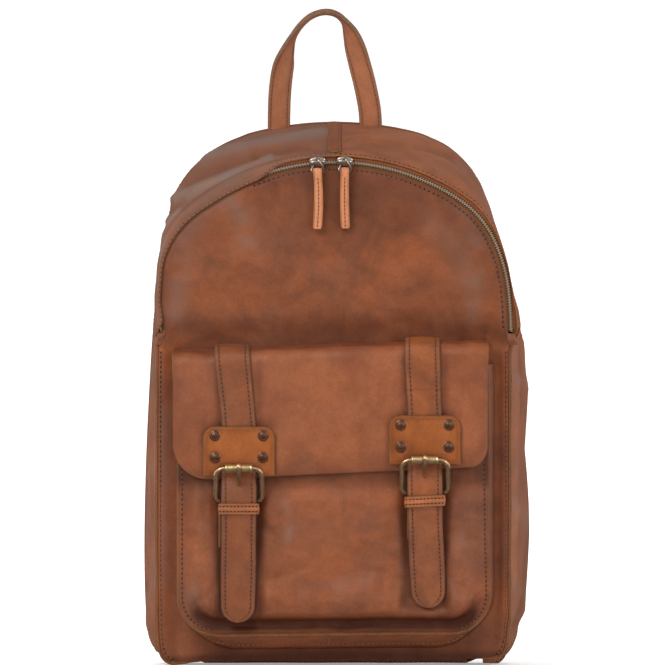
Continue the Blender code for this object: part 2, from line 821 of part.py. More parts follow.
def pull_ring(side, centre):
    loop = smooth_run(PULL_RING + PULL_RING[:1], 2)[:-1]
    path = [Vector(centre) + Vector(point) for point in loop]
    wire_loop("pull_ring_" + side, path, 0.8, "iron", sides=7, origin=centre)


def leather_pull(side, centre):
    """Leather pull hanging from the ring, round at its top."""
    x, y, z = centre
    shape = arc_points((0, 0), 2.75, -20, 220, 8)
    shape += [(-1.5, -5.0), (-1.5, -43.2), (1.5, -43.2), (1.5, -5.0)]
    outline = [(y + forwards, z + up) for forwards, up in shape]
    pull = prism(
        "leather_pull_" + side, outline, sideways, x - 3.1, x + 3.1, "light", origin=centre
    )
    hole = [(1.5, -6.0), (1.5, 6.0)]
    cut(pull, turned("pull_hole_" + side, centre, (1, 0, 0), hole, 12))


for side, slider_x in SLIDER_X.items():
    place = slider_place(slider_x)
    x, y, z = place(0, PULL_RING_Y, 0)
    zip_slider(side, place)
    pull_ring(side, (x, y, z))
    leather_pull(side, (x, y, z - PULL_DROP))

# ---------------------------------------------------------------- handle
# Middle of the grab handle: x from its centre, z, twist in degrees
HANDLE_RUN = [
    (-35.0, 408.8, 0), (-34.8, 418, 6), (-34.4, 428, 15), (-33.4, 439, 28),
    (-31.6, 450, 44), (-29.0, 461, 62), (-25.2, 471, 78), (-19.0, 479.6, 88),
    (-10.5, 486.6, 90), (0, 489.6, 90), (9.0, 487.6, 90), (15.0, 482.0, 88),
    (19.4, 473.5, 80), (23.2, 462, 64), (26.6, 450, 46), (29.6, 439, 29),
    (32.0, 428, 15), (33.8, 418, 6), (34.6, 408.8, 0),
]


def grab_handle():
    """A strap standing in an arch, twisted from edge-on feet to lie flat at the top."""
    centres = [Vector((HANDLE_X + x, HANDLE_Y, z)) for x, z, _ in HANDLE_RUN]
    tangents = [tangent(centres, i) for i in range(len(centres))]
    tangents[0] = Vector((0, 0, 1))
    tangents[-1] = Vector((0, 0, -1))
    rings = []
    for centre, along, (_, _, twist) in zip(centres, tangents, HANDLE_RUN):
        angle = math.radians(twist)
        in_plane = Vector((along.z, 0, -along.x))  # in the plane of the arch
        wide = in_plane * math.cos(angle) + Vector((0, 1, 0)) * math.sin(angle)
        rings.append(
            chamfered_ring(
                centre, wide, along.cross(wide),
                half_width=8.6, chamfer=1.0, half_thick=2.1, edge_half_thick=1.4,
            )
        )
    loft("grab_handle", rings, "light", origin=(HANDLE_X, HANDLE_Y, HANDLE_Z))


grab_handle()

# ---------------------------------------------------------------- back straps
# Runs on the right side; x is mirrored for the left.
SHOULDER_RUN = [  # x, y, z, half width
    (42, 60.0, 363.5, 21), (44, 61.5, 345, 24), (50, 65.5, 300, 26),
    (60, 68.0, 240, 25), (72, 67.0, 190, 20), (79, 64.5, 156, 13.5),
]
LOWER_RUN = [  # x, y, z
    (83.0, 61.0, 127), (88, 60.8, 108), (96.0, 59.6, 84), (104.5, 57.6, 60), (110.0, 56.6, 46),
]
ANCHOR = [(92, 44), (116, 66), (137, 50), (137, 30), (118, 26)]  # x, z

prism(
    "strap_yoke",
    [(-72, 349), (72, 349), (66, 376), (46, 385), (-46, 385), (-66, 376)],
    upright, YOKE_BACK_Y, 54.5, "dark",
)


def strap_frame(centres, i):
    """Directions across a back strap and out from the back."""
    along = tangent(centres, i)
    across = Vector((1, 0, 0))
    across = (across - along * across.dot(along)).normalized()
    out = along.cross(across).normalized()
    return across, (-out if out.y < 0 else out)


def shoulder_strap(side, sign):
    """Padded strap, thinner at both ends."""
    run = smooth_run(SHOULDER_RUN, 3)
    centres = [Vector((sign * x, y, z)) for x, y, z, _ in run]
    rings = []
    for i, centre in enumerate(centres):
        across, out = strap_frame(centres, i)
        if i == 0:
            across, out = Vector((1, 0, 0)), Vector((0, 1, 0))
        half_thick = 3.8 if 0 < i < len(run) - 1 else 2.4
        rings.append(
            chamfered_ring(
                centre, across, out, half_width=run[i][3], chamfer=3,
                half_thick=half_thick, edge_half_thick=half_thick * 0.3,
            )
        )
    loft("shoulder_strap_" + side, rings, "body", origin=(sign * 42.0, 60.0, 362.0))


def adjuster(side, sign):
    """A plate with two windows and a bar between."""
    centre_x, centre_y, centre_z = ADJUSTER_CENTRE
    cos, sin = math.cos(ADJUSTER_LEAN), math.sin(ADJUSTER_LEAN)

    def tilt(across, up, out):
        return (
            sign * (centre_x + across * cos - up * sin),
            centre_y + out,
            centre_z + across * sin + up * cos,
        )

    def rectangle(half_width, low, high):
        return [(-half_width, low), (half_width, low), (half_width, high), (-half_width, high)]

    plate = prism(
        "adjuster_" + side, rectangle(18.5, -ADJUSTER_HALF_H, ADJUSTER_HALF_H), tilt,
        -1.5, 1.5, "brass", origin=tilt(0, ADJUSTER_HALF_H, 0),
    )
    for tag, low, high in (("a", 2.0, 9.0), ("b", -9.0, -2.0)):
        cut(plate, prism(f"window_{side}_{tag}", rectangle(15, low, high), tilt, -6, 6))


def lower_strap(side, sign):
    """From under the adjuster down to its anchor."""
    half_width, half_thick = 12.5, 1.2
    centres = [Vector((sign * x, y, z)) for x, y, z in smooth_run(LOWER_RUN, 2)]
    rings = []
    for i, centre in enumerate(centres):
        across, out = strap_frame(centres, i)
        wide, thin = across * half_width, out * half_thick
        rings.append([
            centre + wide + thin, centre - wide + thin, centre - wide - thin, centre + wide - thin
        ])
    loft("lower_strap_" + side, rings, "dark")


def strap_anchor(side, sign):
    outline = [(sign * x, z) for x, z in ANCHOR]
    prism("strap_anchor_" + side, outline, upright, YOKE_BACK_Y, 54.4, "dark")


for side, sign in (("left", -1), ("right", 1)):
    for build in (shoulder_strap, adjuster, lower_strap, strap_anchor):
        build(side, sign)
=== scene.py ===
"""A leather backpack with a buckled front pocket, standing on a pale floor.

Its front faces -Y, its left side is at -X and its foot is near z = 0. Shapes are worked out in
millimetres and become metres in build(). The words across, up and out follow x, z and the face.
"""
import math
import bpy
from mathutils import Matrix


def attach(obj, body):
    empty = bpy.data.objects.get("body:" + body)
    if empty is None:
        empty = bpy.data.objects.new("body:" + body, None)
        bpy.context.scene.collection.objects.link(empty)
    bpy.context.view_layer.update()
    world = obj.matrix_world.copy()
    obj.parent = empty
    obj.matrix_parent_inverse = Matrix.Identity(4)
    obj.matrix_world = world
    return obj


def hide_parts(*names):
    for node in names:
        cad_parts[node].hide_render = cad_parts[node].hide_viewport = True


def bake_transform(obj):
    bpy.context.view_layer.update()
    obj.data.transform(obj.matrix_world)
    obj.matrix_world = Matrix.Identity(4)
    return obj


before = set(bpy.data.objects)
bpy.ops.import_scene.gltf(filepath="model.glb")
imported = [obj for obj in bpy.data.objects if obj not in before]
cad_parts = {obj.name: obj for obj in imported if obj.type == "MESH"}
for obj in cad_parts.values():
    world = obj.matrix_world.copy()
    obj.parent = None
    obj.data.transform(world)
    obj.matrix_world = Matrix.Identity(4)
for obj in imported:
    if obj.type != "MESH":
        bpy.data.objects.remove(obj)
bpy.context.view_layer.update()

from types import SimpleNamespace

import bmesh
import bpy
import numpy as np
from mathutils import Vector

SCENE = bpy.context.scene
MM = 0.001
SIDES = (("left", -1), ("right", 1))
FRONTWARD = (0, -1, 0)


# ------------------------------------------------------------------ small maths
def unit(vectors):
    return vectors / np.maximum(np.linalg.norm(vectors, axis=-1, keepdims=True), 1e-9)


def smooth(start, end, x):
    """Eases from 0 at start to 1 at end; start may be the larger."""
    t = np.clip((np.asarray(x, float) - start) / (end - start), 0, 1)
    return t * t * (3 - 2 * t)


def bump(x, width):
    return np.exp(-((x / width) ** 2))


def grid(x, y, z):
    """Points from coordinates of any shapes that broadcast together."""
    return np.stack(np.broadcast_arrays(x, y, z), -1)


def waves(points, seed, size):
    """Smooth seeded noise, about -1 to 1. size is the size of a feature."""
    random = np.random.default_rng(seed)
    count = 9
    total = np.zeros(points.shape[:-1])
    for _ in range(count):
        main = random.normal(size=3)
        main /= np.linalg.norm(main)
        rate = (0.6 + 0.9 * random.random()) * 2 * math.pi / size
        warp = random.normal(size=3)
        warp /= np.linalg.norm(warp)
        warped = 1.7 * np.sin(points @ warp * rate * 0.63 + random.random() * 6)
        total += np.sin(points @ main * rate + warped + random.random() * 6.28)
    return total / math.sqrt(count) / 1.2


def lengths(points):
    """Distance along a line at each of its points."""
    return np.concatenate([[0], np.cumsum(np.linalg.norm(np.diff(points, axis=0), axis=1))])


def at_length(values, places, distances):
    return np.stack([np.interp(places, distances, column) for column in values.T], -1)


def even(points, count):
    distances = lengths(points)
    return at_length(points, np.linspace(0, distances[-1], count), distances)


def resample(points, step):
    return even(points, max(2, int(round(lengths(points)[-1] / step)) + 1))


def spline(p0, p1, p2, p3, t):
    """Catmull-Rom curve from p1 to p2."""
    square, cube = 2 * p0 - 5 * p1 + 4 * p2 - p3, 3 * p1 - p0 - 3 * p2 + p3
    return 0.5 * (2 * p1 + (p2 - p0) * t + square * t * t + cube * t**3)


def catmull(points, per, closed=False):
    points = [np.array(p, float) for p in points]
    if closed:
        padded = points[-1:] + points + points[:2]
    else:
        padded = points[:1] + points + points[-1:]
    curve = [spline(*padded[i:i + 4], s / per) for i in range(len(padded) - 3) for s in range(per)]
    return np.array(curve if closed else curve + points[-1:])


def bend(centre_a, centre_b, radius, start, end, count):
    """Points on an arc from start to end, in degrees."""
    angle = np.radians(np.linspace(start, end, count))
    return np.stack([centre_a + radius * np.cos(angle), centre_b + radius * np.sin(angle)], 1)


def corner_loop(corners, count, step):
    """Evenly spaced loop round quarter bends. corners: centre a, centre b, start angle, radius."""
    loop = np.concatenate([bend(a, b, r, start, start + 90, count) for a, b, start, r in corners])
    return resample(np.vstack([loop, loop[:1]]), step)[:-1]


def to_line(points, line):
    """Distance of points (.., 2) to a polyline."""
    line = np.asarray(line, float)
    nearest = np.full(points.shape[:-1], 1e9)
    for start, step in zip(line[:-1], np.diff(line, axis=0)):
        away = points - start
        t = np.clip((away @ step) / max((step * step).sum(), 1e-9), 0, 1)
        away = away - t[..., None] * step
        nearest = np.minimum(nearest, np.sqrt((away * away).sum(-1)))
    return nearest


def ridges(x, z, table):
    """Sum of soft ridges. Each row holds a line of (x, z), a height and a width."""
    points = np.stack([x, z], -1)
    return sum(height * bump(to_line(points, line), width) for line, height, width in table)


# ------------------------------------------------------------------ materials
class Nodes:
    """A node tree, with short ways to add the nodes used here."""

    def __init__(self, tree):
        self.tree = tree

    def feed(self, node, inputs):
        """Links sockets and sets plain values; colours get an alpha of 1."""
        for key, value in inputs.items():
            socket = node.inputs[key]
            if isinstance(value, bpy.types.NodeSocket):
                self.tree.links.new(value, socket)
            elif isinstance(value, tuple) and socket.type == "RGBA":
                socket.default_value = (*value, 1)
            else:
                socket.default_value = value

    def add(self, kind, inputs=None, **settings):
        node = self.tree.nodes.new("ShaderNode" + kind)
        for key, value in settings.items():
            setattr(node, key, value)
        self.feed(node, inputs or {})
        return node

    def coord(self):
        return self.add("TexCoord").outputs["Object"]

    def attribute(self, name):
        return self.add("Attribute", attribute_name=name).outputs["Fac"]

    def noise(self, coord, scale, detail=3.0, rough=0.55, distortion=0.0, output="Fac"):
        return self.add("TexNoise", {
            "Scale": scale, "Detail": detail, "Roughness": rough, "Distortion": distortion,
            "Vector": coord,
        }).outputs[output]

    def ramp(self, factor, *stops):
        node = self.add("ValToRGB")
        for element, (position, colour) in zip(node.color_ramp.elements, stops):
            element.position = position
            element.color = (*colour, 1)
        self.feed(node, {"Fac": factor})
        return node.outputs["Color"]

    def grey_ramp(self, factor, low, high, low_grey=0, high_grey=1):
        return self.ramp(factor, (low, (low_grey,) * 3), (high, (high_grey,) * 3))

    def mix(self, factor, a, b, blend="MIX"):
        inputs = {0: factor, 6: a, 7: b}
        return self.add("Mix", inputs, data_type="RGBA", blend_type=blend).outputs[2]

    def math(self, operation, a, b, clamp=False):
        return self.add("Math", {0: a, 1: b}, operation=operation, use_clamp=clamp).outputs[0]

    def times(self, a, b, clamp=False):
        return self.math("MULTIPLY", a, b, clamp)

    def plus(self, a, b, clamp=False):
        return self.math("ADD", a, b, clamp)

    def bump(self, height, strength, distance, normal=None):
        inputs = {"Strength": strength, "Distance": distance, "Height": height}
        if normal:
            inputs["Normal"] = normal
        return self.add("Bump", inputs).outputs["Normal"]


def scaled(colour, factor):
    return tuple(value * factor for value in colour)


def new_material(name):
    material = bpy.data.materials.new(name)
    material.use_nodes = True
    tree = material.node_tree
    return material, Nodes(tree), tree.nodes["Principled BSDF"]


def leather(name, mid, dark, warm, offset=(0, 0, 0), grey=0.5, rough=0.43,
            raw=(0.215, 0.095, 0.026), bloom_sheen_grey=(0.270, 0.150, 0.110)):
    """Waxed leather. Vertex attributes paint a grey sheen where light catches (partly the wax's
    bloom), shade with dark edge dye, and the colour of cut edges.
    """
    material, nodes, principled = new_material(name)
    mapping = nodes.add("Mapping", {"Location": offset, "Vector": nodes.coord()})
    coord = mapping.outputs["Vector"]
    cloud = nodes.noise(coord, scale=11.0, distortion=0.7)
    patches = nodes.noise(coord, scale=24.0, detail=4.0, rough=0.6, distortion=0.9)
    small = nodes.noise(coord, scale=95.0, detail=5.0, rough=0.65, distortion=0.3)
    fine = nodes.noise(coord, scale=620.0, rough=0.6)
    warm_mask = nodes.grey_ramp(cloud, 0.38, 0.66)
    dark_mask = nodes.grey_ramp(patches, 0.40, 0.70)
    colour = nodes.mix(warm_mask, mid, warm)
    colour = nodes.mix(nodes.times(dark_mask, 0.68), colour, dark)
    # A waxy grey bloom in soft patches.
    bloom = nodes.noise(coord, scale=15.0, rough=0.6, distortion=1.1)
    bloom_mask = nodes.grey_ramp(bloom, 0.48, 0.72)
    colour = nodes.mix(nodes.times(bloom_mask, grey * 0.62), colour, (0.205, 0.098, 0.068))
    # Mottling at two sizes.
    mottle = nodes.ramp(small, (0.25, (0.84, 0.82, 0.80)), (0.75, (1.12, 1.12, 1.12)))
    colour = nodes.mix(1.0, colour, mottle, "MULTIPLY")
    mottle = nodes.grey_ramp(fine, 0.3, 0.7, low_grey=0.90, high_grey=1.09)
    colour = nodes.mix(1.0, colour, mottle, "MULTIPLY")
    # A grey sheen painted where light catches, partly the wax's bloom.
    bloom_and_sheen = nodes.times(nodes.attribute("bloom_and_sheen"), nodes.plus(bloom, 0.35), clamp=True)
    colour = nodes.mix(bloom_and_sheen, colour, bloom_sheen_grey)
    # Painted shade and dark edge dye, mixed towards a deep brown.
    patchy = nodes.plus(nodes.times(patches, 0.5), 0.72)
    dye_and_shade = nodes.times(nodes.attribute("dye_and_shade"), patchy, clamp=True)
    colour = nodes.mix(dye_and_shade, colour, (dark[0] * 0.46, dark[1] * 0.32, dark[2] * 0.24))
    cut = nodes.attribute("raw")
    fibre = nodes.noise(coord, scale=900.0, detail=4.0, rough=0.7)
    fibres = nodes.ramp(fibre, (0.3, scaled(raw, 0.45)), (0.7, scaled(raw, 1.25)))
    colour = nodes.mix(cut, colour, fibres)
    # Cut edges are rougher.
    roughness = nodes.plus(nodes.times(small, 0.22), rough - 0.11)
    roughness = nodes.plus(roughness, nodes.times(cut, 0.35), clamp=True)
    # Pebbled grain from warped cells, over creases and under fine pores.
    warp = nodes.noise(coord, scale=300.0, detail=2.0, output="Color")
    shift = nodes.add("VectorMath", {0: warp, 1: (0.0016,) * 3, 2: coord},
                      operation="MULTIPLY_ADD")
    pebbles = nodes.add("TexVoronoi", {"Scale": 1250.0, "Vector": shift.outputs[0]},
                        feature="DISTANCE_TO_EDGE")
    grain = nodes.math("MINIMUM", pebbles.outputs["Distance"], 0.22)
    crease = nodes.noise(coord, scale=150.0, detail=5.0, rough=0.62, distortion=1.6)
    normal = nodes.bump(crease, strength=0.22, distance=0.0011)
    normal = nodes.bump(grain, strength=0.30, distance=0.0006, normal=normal)
    normal = nodes.bump(fine, strength=0.16, distance=0.0003, normal=normal)
    nodes.feed(principled, {
        "Base Color": colour, "Roughness": roughness, "Normal": normal,
        "Specular IOR Level": 0.34, "Specular Tint": (1.0, 0.86, 0.76),
    })
    return material


def metal(name, light, dark, rough=0.34, wear=0.5, metallic=1.0):
    """Tarnished metal, rubbed light on its edges."""
    material, nodes, principled = new_material(name)
    coord = nodes.coord()
    tarnish = nodes.noise(coord, scale=260.0, detail=4.0, rough=0.6, distortion=0.5)
    mask = nodes.grey_ramp(tarnish, 0.35, 0.65)
    edge = nodes.grey_ramp(nodes.add("NewGeometry").outputs["Pointiness"], 0.47, 0.56)
    colour = nodes.mix(nodes.times(mask, 0.6), dark, light)
    colour = nodes.mix(nodes.times(edge, wear), colour, light)
    fine = nodes.noise(coord, scale=900.0, rough=0.6)
    nodes.feed(principled, {
        "Base Color": colour, "Metallic": metallic,
        "Roughness": nodes.plus(nodes.times(fine, 0.25), rough - 0.12),
        "Normal": nodes.bump(fine, strength=0.25, distance=0.0002),
    })
    return material


def cloth(name, colour, weave):
    """Woven cloth; weave sets how fine the threads are."""
    material, nodes, principled = new_material(name)
    coord = nodes.coord()
    warp, weft = [
        nodes.add("TexWave", {"Scale": weave / 6.0, "Distortion": 0.6, "Detail": 1.0,
                              "Vector": coord}, wave_type="BANDS", bands_direction=direction)
        for direction in ("X", "Z")
    ]
    height = nodes.times(warp.outputs["Fac"], weft.outputs["Fac"])
    shade = nodes.noise(coord, scale=60.0, detail=4.0)
    base = nodes.mix(shade, scaled(colour, 0.75), scaled(colour, 1.2))
    nodes.feed(principled, {
        "Base Color": nodes.mix(nodes.times(height, 0.35), base, scaled(colour, 1.6)),
        "Roughness": 0.85,
        "Normal": nodes.bump(height, strength=0.5, distance=0.0004),
    })
    return material


def thread(name, colour, rough=0.7):
    material, nodes, principled = new_material(name)
    fuzz = nodes.noise(nodes.coord(), scale=1500.0)
    nodes.feed(principled, {
        "Base Color": nodes.mix(fuzz, scaled(colour, 0.6), scaled(colour, 1.3)),
        "Roughness": rough,
        "Normal": nodes.bump(fuzz, strength=0.4, distance=0.0002),
    })
    return material


MATERIALS = {
    "body": leather("leather_body", mid=(0.275, 0.086, 0.036), dark=(0.135, 0.042, 0.020),
                    warm=(0.350, 0.100, 0.034)),
    "gusset": leather("leather_gusset", mid=(0.305, 0.106, 0.050), dark=(0.190, 0.066, 0.034),
                      warm=(0.365, 0.118, 0.045), offset=(3.1, 0.4, 1.7), grey=0.55,
                      rough=0.51, bloom_sheen_grey=(0.222, 0.142, 0.113)),
    "flap": leather("leather_flap", mid=(0.302, 0.096, 0.041), dark=(0.190, 0.058, 0.028),
                    warm=(0.362, 0.108, 0.038), offset=(1.3, 2.1, 0.4), grey=0.35),
    "strap": leather("leather_strap", mid=(0.250, 0.076, 0.030), dark=(0.140, 0.046, 0.021),
                     warm=(0.350, 0.102, 0.031), offset=(5.3, 1.1, 2.4), grey=0.4,
                     raw=(0.13, 0.075, 0.05)),
    "plate": leather("leather_plate", mid=(0.335, 0.092, 0.018), dark=(0.225, 0.058, 0.013),
                     warm=(0.395, 0.112, 0.022), offset=(0.3, 4.1, 3.4), grey=0.18,
                     raw=(0.200, 0.075, 0.026)),
    "keeper": leather("leather_keeper", mid=(0.390, 0.125, 0.044), dark=(0.280, 0.085, 0.030),
                      warm=(0.450, 0.145, 0.052), offset=(0.7, 3.1, 1.4), grey=0.15,
                      raw=(0.24, 0.12, 0.06)),
    "pull": leather("leather_pull", mid=(0.640, 0.245, 0.115), dark=(0.500, 0.175, 0.075),
                    warm=(0.700, 0.280, 0.135), offset=(2.3, 3.1, 0.4), grey=0.12, rough=0.5,
                    raw=(0.40, 0.20, 0.09)),
    "handle": leather("leather_handle", mid=(0.385, 0.140, 0.062), dark=(0.270, 0.094, 0.042),
                      warm=(0.450, 0.165, 0.074), offset=(4.3, 0.1, 2.2), grey=0.35,
                      raw=(0.20, 0.12, 0.08)),
    "dark": leather("leather_dark", mid=(0.190, 0.068, 0.032), dark=(0.110, 0.042, 0.022),
                    warm=(0.240, 0.080, 0.034), offset=(2.0, 2.0, 2.0), grey=0.3),
    "brass": metal("antique_brass", light=(0.74, 0.48, 0.27), dark=(0.27, 0.135, 0.065),
                   rough=0.30, wear=0.9, metallic=0.95),
    "roller": metal("roller_brass", light=(0.88, 0.68, 0.36), dark=(0.44, 0.29, 0.12),
                    wear=0.8, metallic=0.95),
    "iron": metal("dark_brass", light=(0.27, 0.125, 0.072), dark=(0.065, 0.024, 0.013),
                  rough=0.27, wear=0.9, metallic=0.85),
    "teeth": metal("zip_metal", light=(0.78, 0.65, 0.48), dark=(0.34, 0.24, 0.15),
                   wear=0.9, metallic=0.8),
    "slider": metal("slider_metal", light=(0.52, 0.44, 0.36), dark=(0.08, 0.055, 0.04),
                    rough=0.28, wear=0.9, metallic=0.95),
    "steel": metal("snap_metal", light=(0.55, 0.53, 0.50), dark=(0.35, 0.33, 0.31), rough=0.32),
    "tape": cloth("zip_tape", colour=(0.120, 0.045, 0.016), weave=2200.0),
    "under": leather("leather_zip_facing", mid=(0.320, 0.100, 0.030),
                     dark=(0.210, 0.060, 0.018), warm=(0.380, 0.120, 0.034),
                     offset=(1.0, 2.2, 0.3), grey=0.2, rough=0.5),
    "lining": cloth("lining_cloth", colour=(0.115, 0.085, 0.060), weave=1300.0),
    # Near black: painted shade inside needle and prong holes.
    "hole": thread("stitch_hole_shade", colour=(0.030, 0.012, 0.008), rough=0.9),
    "thread": thread("stitch_thread", colour=(0.165, 0.072, 0.042)),
    "thread_light": thread("stitch_thread_light", colour=(0.300, 0.150, 0.080)),
}


# ------------------------------------------------------------------ the bag's uneven stance
def settle(points):
    """The bag stands on its left corner: its foot rises towards the middle and draws in on the
    right, and its right side wavers."""
    x, y, z = points.T.copy()
    rise = np.interp(x, [-132, -114, -92, -30, 60, 132], [0, 2.0, 4.8, 5.6, 6.6, 6.2])
    rise = rise * np.interp(z, [0, 6, 17, 36, 95], [0.80, 0.86, 0.97, 0.62, 0.0])
    points[:, 2] += rise * smooth(-44.6, -50, y)
    draw = 4.4 * smooth(38, 24, z) * smooth(112, 138, x)
    draw += (np.interp(z, [30, 100, 240], [1.5, 3.2, 4.6])
             * smooth(90, 117, x) * smooth(-54, -61, y))
    draw += (4.0 * smooth(119, 135, x) * smooth(-36, -50, y) * smooth(-58, -56, y)
             * smooth(247, 231, z) * smooth(26, 40, z))
    draw -= (3.2 * smooth(251, 240, z) * smooth(110, 190, z) * smooth(128, 140, x)
             * smooth(-50, -34, y) * smooth(50, 14, y))
    points[:, 0] -= draw
    return points


def shoulders(points, is_panel, is_zip):
    """Draws the shoulders in: on the left the gusset's edge rolls close to the silhouette.
    Each side moves between an inner and an outer half width, given against z."""
    x, y, z = points.T.copy()
    wide = np.abs(x)
    front, rear = smooth(-20, -44, y), smooth(46, 12, y)
    inner = np.interp(
        z, [240, 244, 250, 258, 271, 288, 299, 310, 322, 333, 344, 356],
        [132.5, 130.5, 130, 129.3, 128.6, 128.4, 127.6, 125.6, 121.7, 115, 106, 96])
    push = front * np.interp(z, [250, 258, 271, 288, 299, 310, 322, 333, 344, 356],
                             [0, 1.4, 3.8, 3.3, 3.3, 3.3, 3.3, 2.8, 0.6, 0])
    if is_panel:
        push = push + np.minimum(push, 1.2)
    levels = [0, 16, 27, 39, 50, 61, 150, 200, 242, 254, 265, 276, 288, 299, 310, 322, 333, 344,
              356]
    outer = np.interp(z, levels, [135, 138, 140, 142, 142.5, 142.5, 142.5, 141.5, 138.5, 140,
                                  140, 141.6, 141.6, 140.8, 137.8, 132.5, 129.5, 125, 120.4])
    draw = rear * np.interp(z, levels, [-0.5, -0.8, -3.0, -2.2, -0.4, 1.0, 1.4, 2.0, 2.3, 3.8,
                                        3.8, 5.3, 6.6, 6.6, 5.8, 1.6, 1.0, 0.2, 0])
    t = np.clip((wide - inner) / (outer - inner), 0, 1)
    left = np.where(wide < inner, push * smooth(inner - 30, inner, wide),
                    push - (draw + push) * t)
    inner = np.interp(z, [249, 260, 276, 288, 299, 310, 322, 333, 344, 356],
                      [134.5, 133.2, 131.9, 130.4, 128.0, 124.8, 119.5, 112.2, 104, 94])
    outer = np.interp(
        z, [240, 254, 265, 276, 288, 299, 310, 322, 333, 344, 356],
        [143, 139.3, 138.5, 137.8, 136.3, 134, 130.2, 125.7, 121.2, 116.6, 111.4])
    draw = np.interp(
        z, [50, 72, 95, 118, 140, 160, 185, 197, 240, 254, 265, 276, 288, 299, 310, 322, 333,
            344, 356],
        [0, -1.0, -2.0, -2.0, -1.2, 0, -1.0, -1.8, -1.2, 0, 1.2, 3.6, 4.6, 4.4, 3.8, 3.0, 2.2,
         1.2, 0])
    limit = np.interp(z, [242, 260, 288, 305], [0, 1.2, 2.2, 0.4])
    draw = draw * rear + np.minimum(draw, limit) * (1 - rear)
    right = -draw * np.clip((wide - inner) / (outer - inner), 0, 1)
    points[:, 0] = np.where(x < 0, -(wide + left), wide + right)
    if is_zip:
        points[:, 1] += 2.0 * smooth(252, 262, z) * smooth(352, 336, z) * (x < 0)
    return points


# ------------------------------------------------------------------ mesh makers
def build(name, points, faces, material, body=None, attributes=None, replaces=(), sharp=None):
    points = np.array(points, float).reshape(-1, 3)
    is_panel = name == "front_panel"
    is_zip = name.startswith("zip_")
    if body == "shell" or is_panel:
        points = settle(points)
    if body == "shell" or is_panel or is_zip:
        points = shoulders(points, is_panel, is_zip)
    mesh = bpy.data.meshes.new(name)
    mesh.from_pydata((points * MM).tolist(), [], [tuple(int(i) for i in f) for f in faces])
    for key, values in (attributes or {}).items():
        attribute = mesh.attributes.new(key, "FLOAT", "POINT")
        attribute.data.foreach_set("value", np.asarray(values, np.float32))
    work = bmesh.new()
    work.from_mesh(mesh)
    bmesh.ops.recalc_face_normals(work, faces=work.faces)
    work.to_mesh(mesh)
    work.free()
    for poly in mesh.polygons:
        poly.use_smooth = True
    if sharp:
        mesh.set_sharp_from_angle(angle=math.radians(sharp))
    piece = bpy.data.objects.new(name, mesh)
    SCENE.collection.objects.link(piece)
    mesh.materials.append(MATERIALS[material])
    if body:
        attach(piece, body)
    if replaces:
        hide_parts(*replaces)
    return piece


def bend_between(piece, motion):
    """motion (first body, second body, where the bend starts and where it ends, in metres) is not
    used; the piece only has its placement baked in.
    """
    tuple(motion[2])
    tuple(motion[3])
    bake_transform(piece)


def band_faces(bands):
    """Quads between closed loops of vertex indices."""
    faces = []
    for a, b in zip(bands, bands[1:]):
        for k in range(len(a)):
            after = (k + 1) % len(a)
            faces.append([a[k], a[after], b[after], b[k]])
    return faces


def skin_faces(count, points, closed=False, base=0):
    """Faces over count rings of points, capped unless the rings close on themselves."""
    rows = [range(base + i * points, base + (i + 1) * points) for i in range(count)]
    if closed:
        return band_faces(rows + rows[:1])
    return band_faces(rows) + [rows[0], rows[-1]]


def rings(name, loops, material, body=None, closed=False, attributes=None, replaces=(),
          sharp=None):
    """Skin over rings of equal count: loops is (rings, points, 3)."""
    loops = np.asarray(loops, float)
    faces = skin_faces(*loops.shape[:2], closed)
    return build(name, loops, faces, material, body, attributes, replaces, sharp)


def sweep(line, across, facing, section):
    """Rings along a line. section holds (across, facing) offsets, shared or one set per point."""
    section = np.asarray(section, float)
    facing = np.broadcast_to(facing, line.shape)
    return (line[:, None] + across[:, None] * section[..., 0:1]
            + facing[:, None] * section[..., 1:2])


def tube_rings(path, radius, sides, closed=False):
    """Rings of a round tube, turned so that a closed tube meets itself."""
    path = np.asarray(path, float)
    if closed:
        along = np.roll(path, -1, 0) - np.roll(path, 1, 0)
    else:
        along = np.gradient(path, axis=0)
    along = unit(along)
    normal = unit(np.cross(along[0], [0.3, 0.2, 0.93]))
    frames = []
    for tangent in along:
        normal = unit(normal - tangent * np.dot(normal, tangent))
        frames.append((normal, np.cross(tangent, normal)))
    turn = 0.0
    if closed:
        last = unit(frames[-1][0] - along[0] * np.dot(frames[-1][0], along[0]))
        turn = math.atan2(np.dot(last, frames[0][1]), np.dot(last, frames[0][0]))
    radii = np.broadcast_to(np.asarray(radius, float), (len(path),))
    loops = []
    for i, (centre, (u, v)) in enumerate(zip(path, frames)):
        angle = (np.arange(sides) / sides * 2 * math.pi - turn * i / len(path))[:, None]
        loops.append(centre + radii[i] * (np.cos(angle) * u + np.sin(angle) * v))
    return np.array(loops)


def revolve(name, centre, axis, profile, material, body, sides=28, closed=False):
    """Turns a profile of (radius, height) about an axis, in place of the solid of that name."""
    axis = np.array(axis, float)
    u = unit(np.cross(axis, [0.1, 0.9, 0.35]))
    v = np.cross(axis, u)
    angle = (np.arange(sides) / sides * 2 * math.pi)[:, None]
    around_axis = np.cos(angle) * u + np.sin(angle) * v
    loops = [centre + axis * height + around_axis * radius for radius, height in profile]
    rings(name, loops, material, body, closed=closed, replaces=(name,), sharp=50)


def grid_normals(points, out=FRONTWARD):
    """Unit normals of a grid, facing out; out="away" means away from the middle of the bag."""
    normals = unit(np.cross(np.gradient(points, axis=0), np.gradient(points, axis=1)))
    away = points * [1, 0, 1] - [0, 0, 190.0] if isinstance(out, str) else np.asarray(out, float)
    return -normals if np.sum(normals * away) < 0 else normals


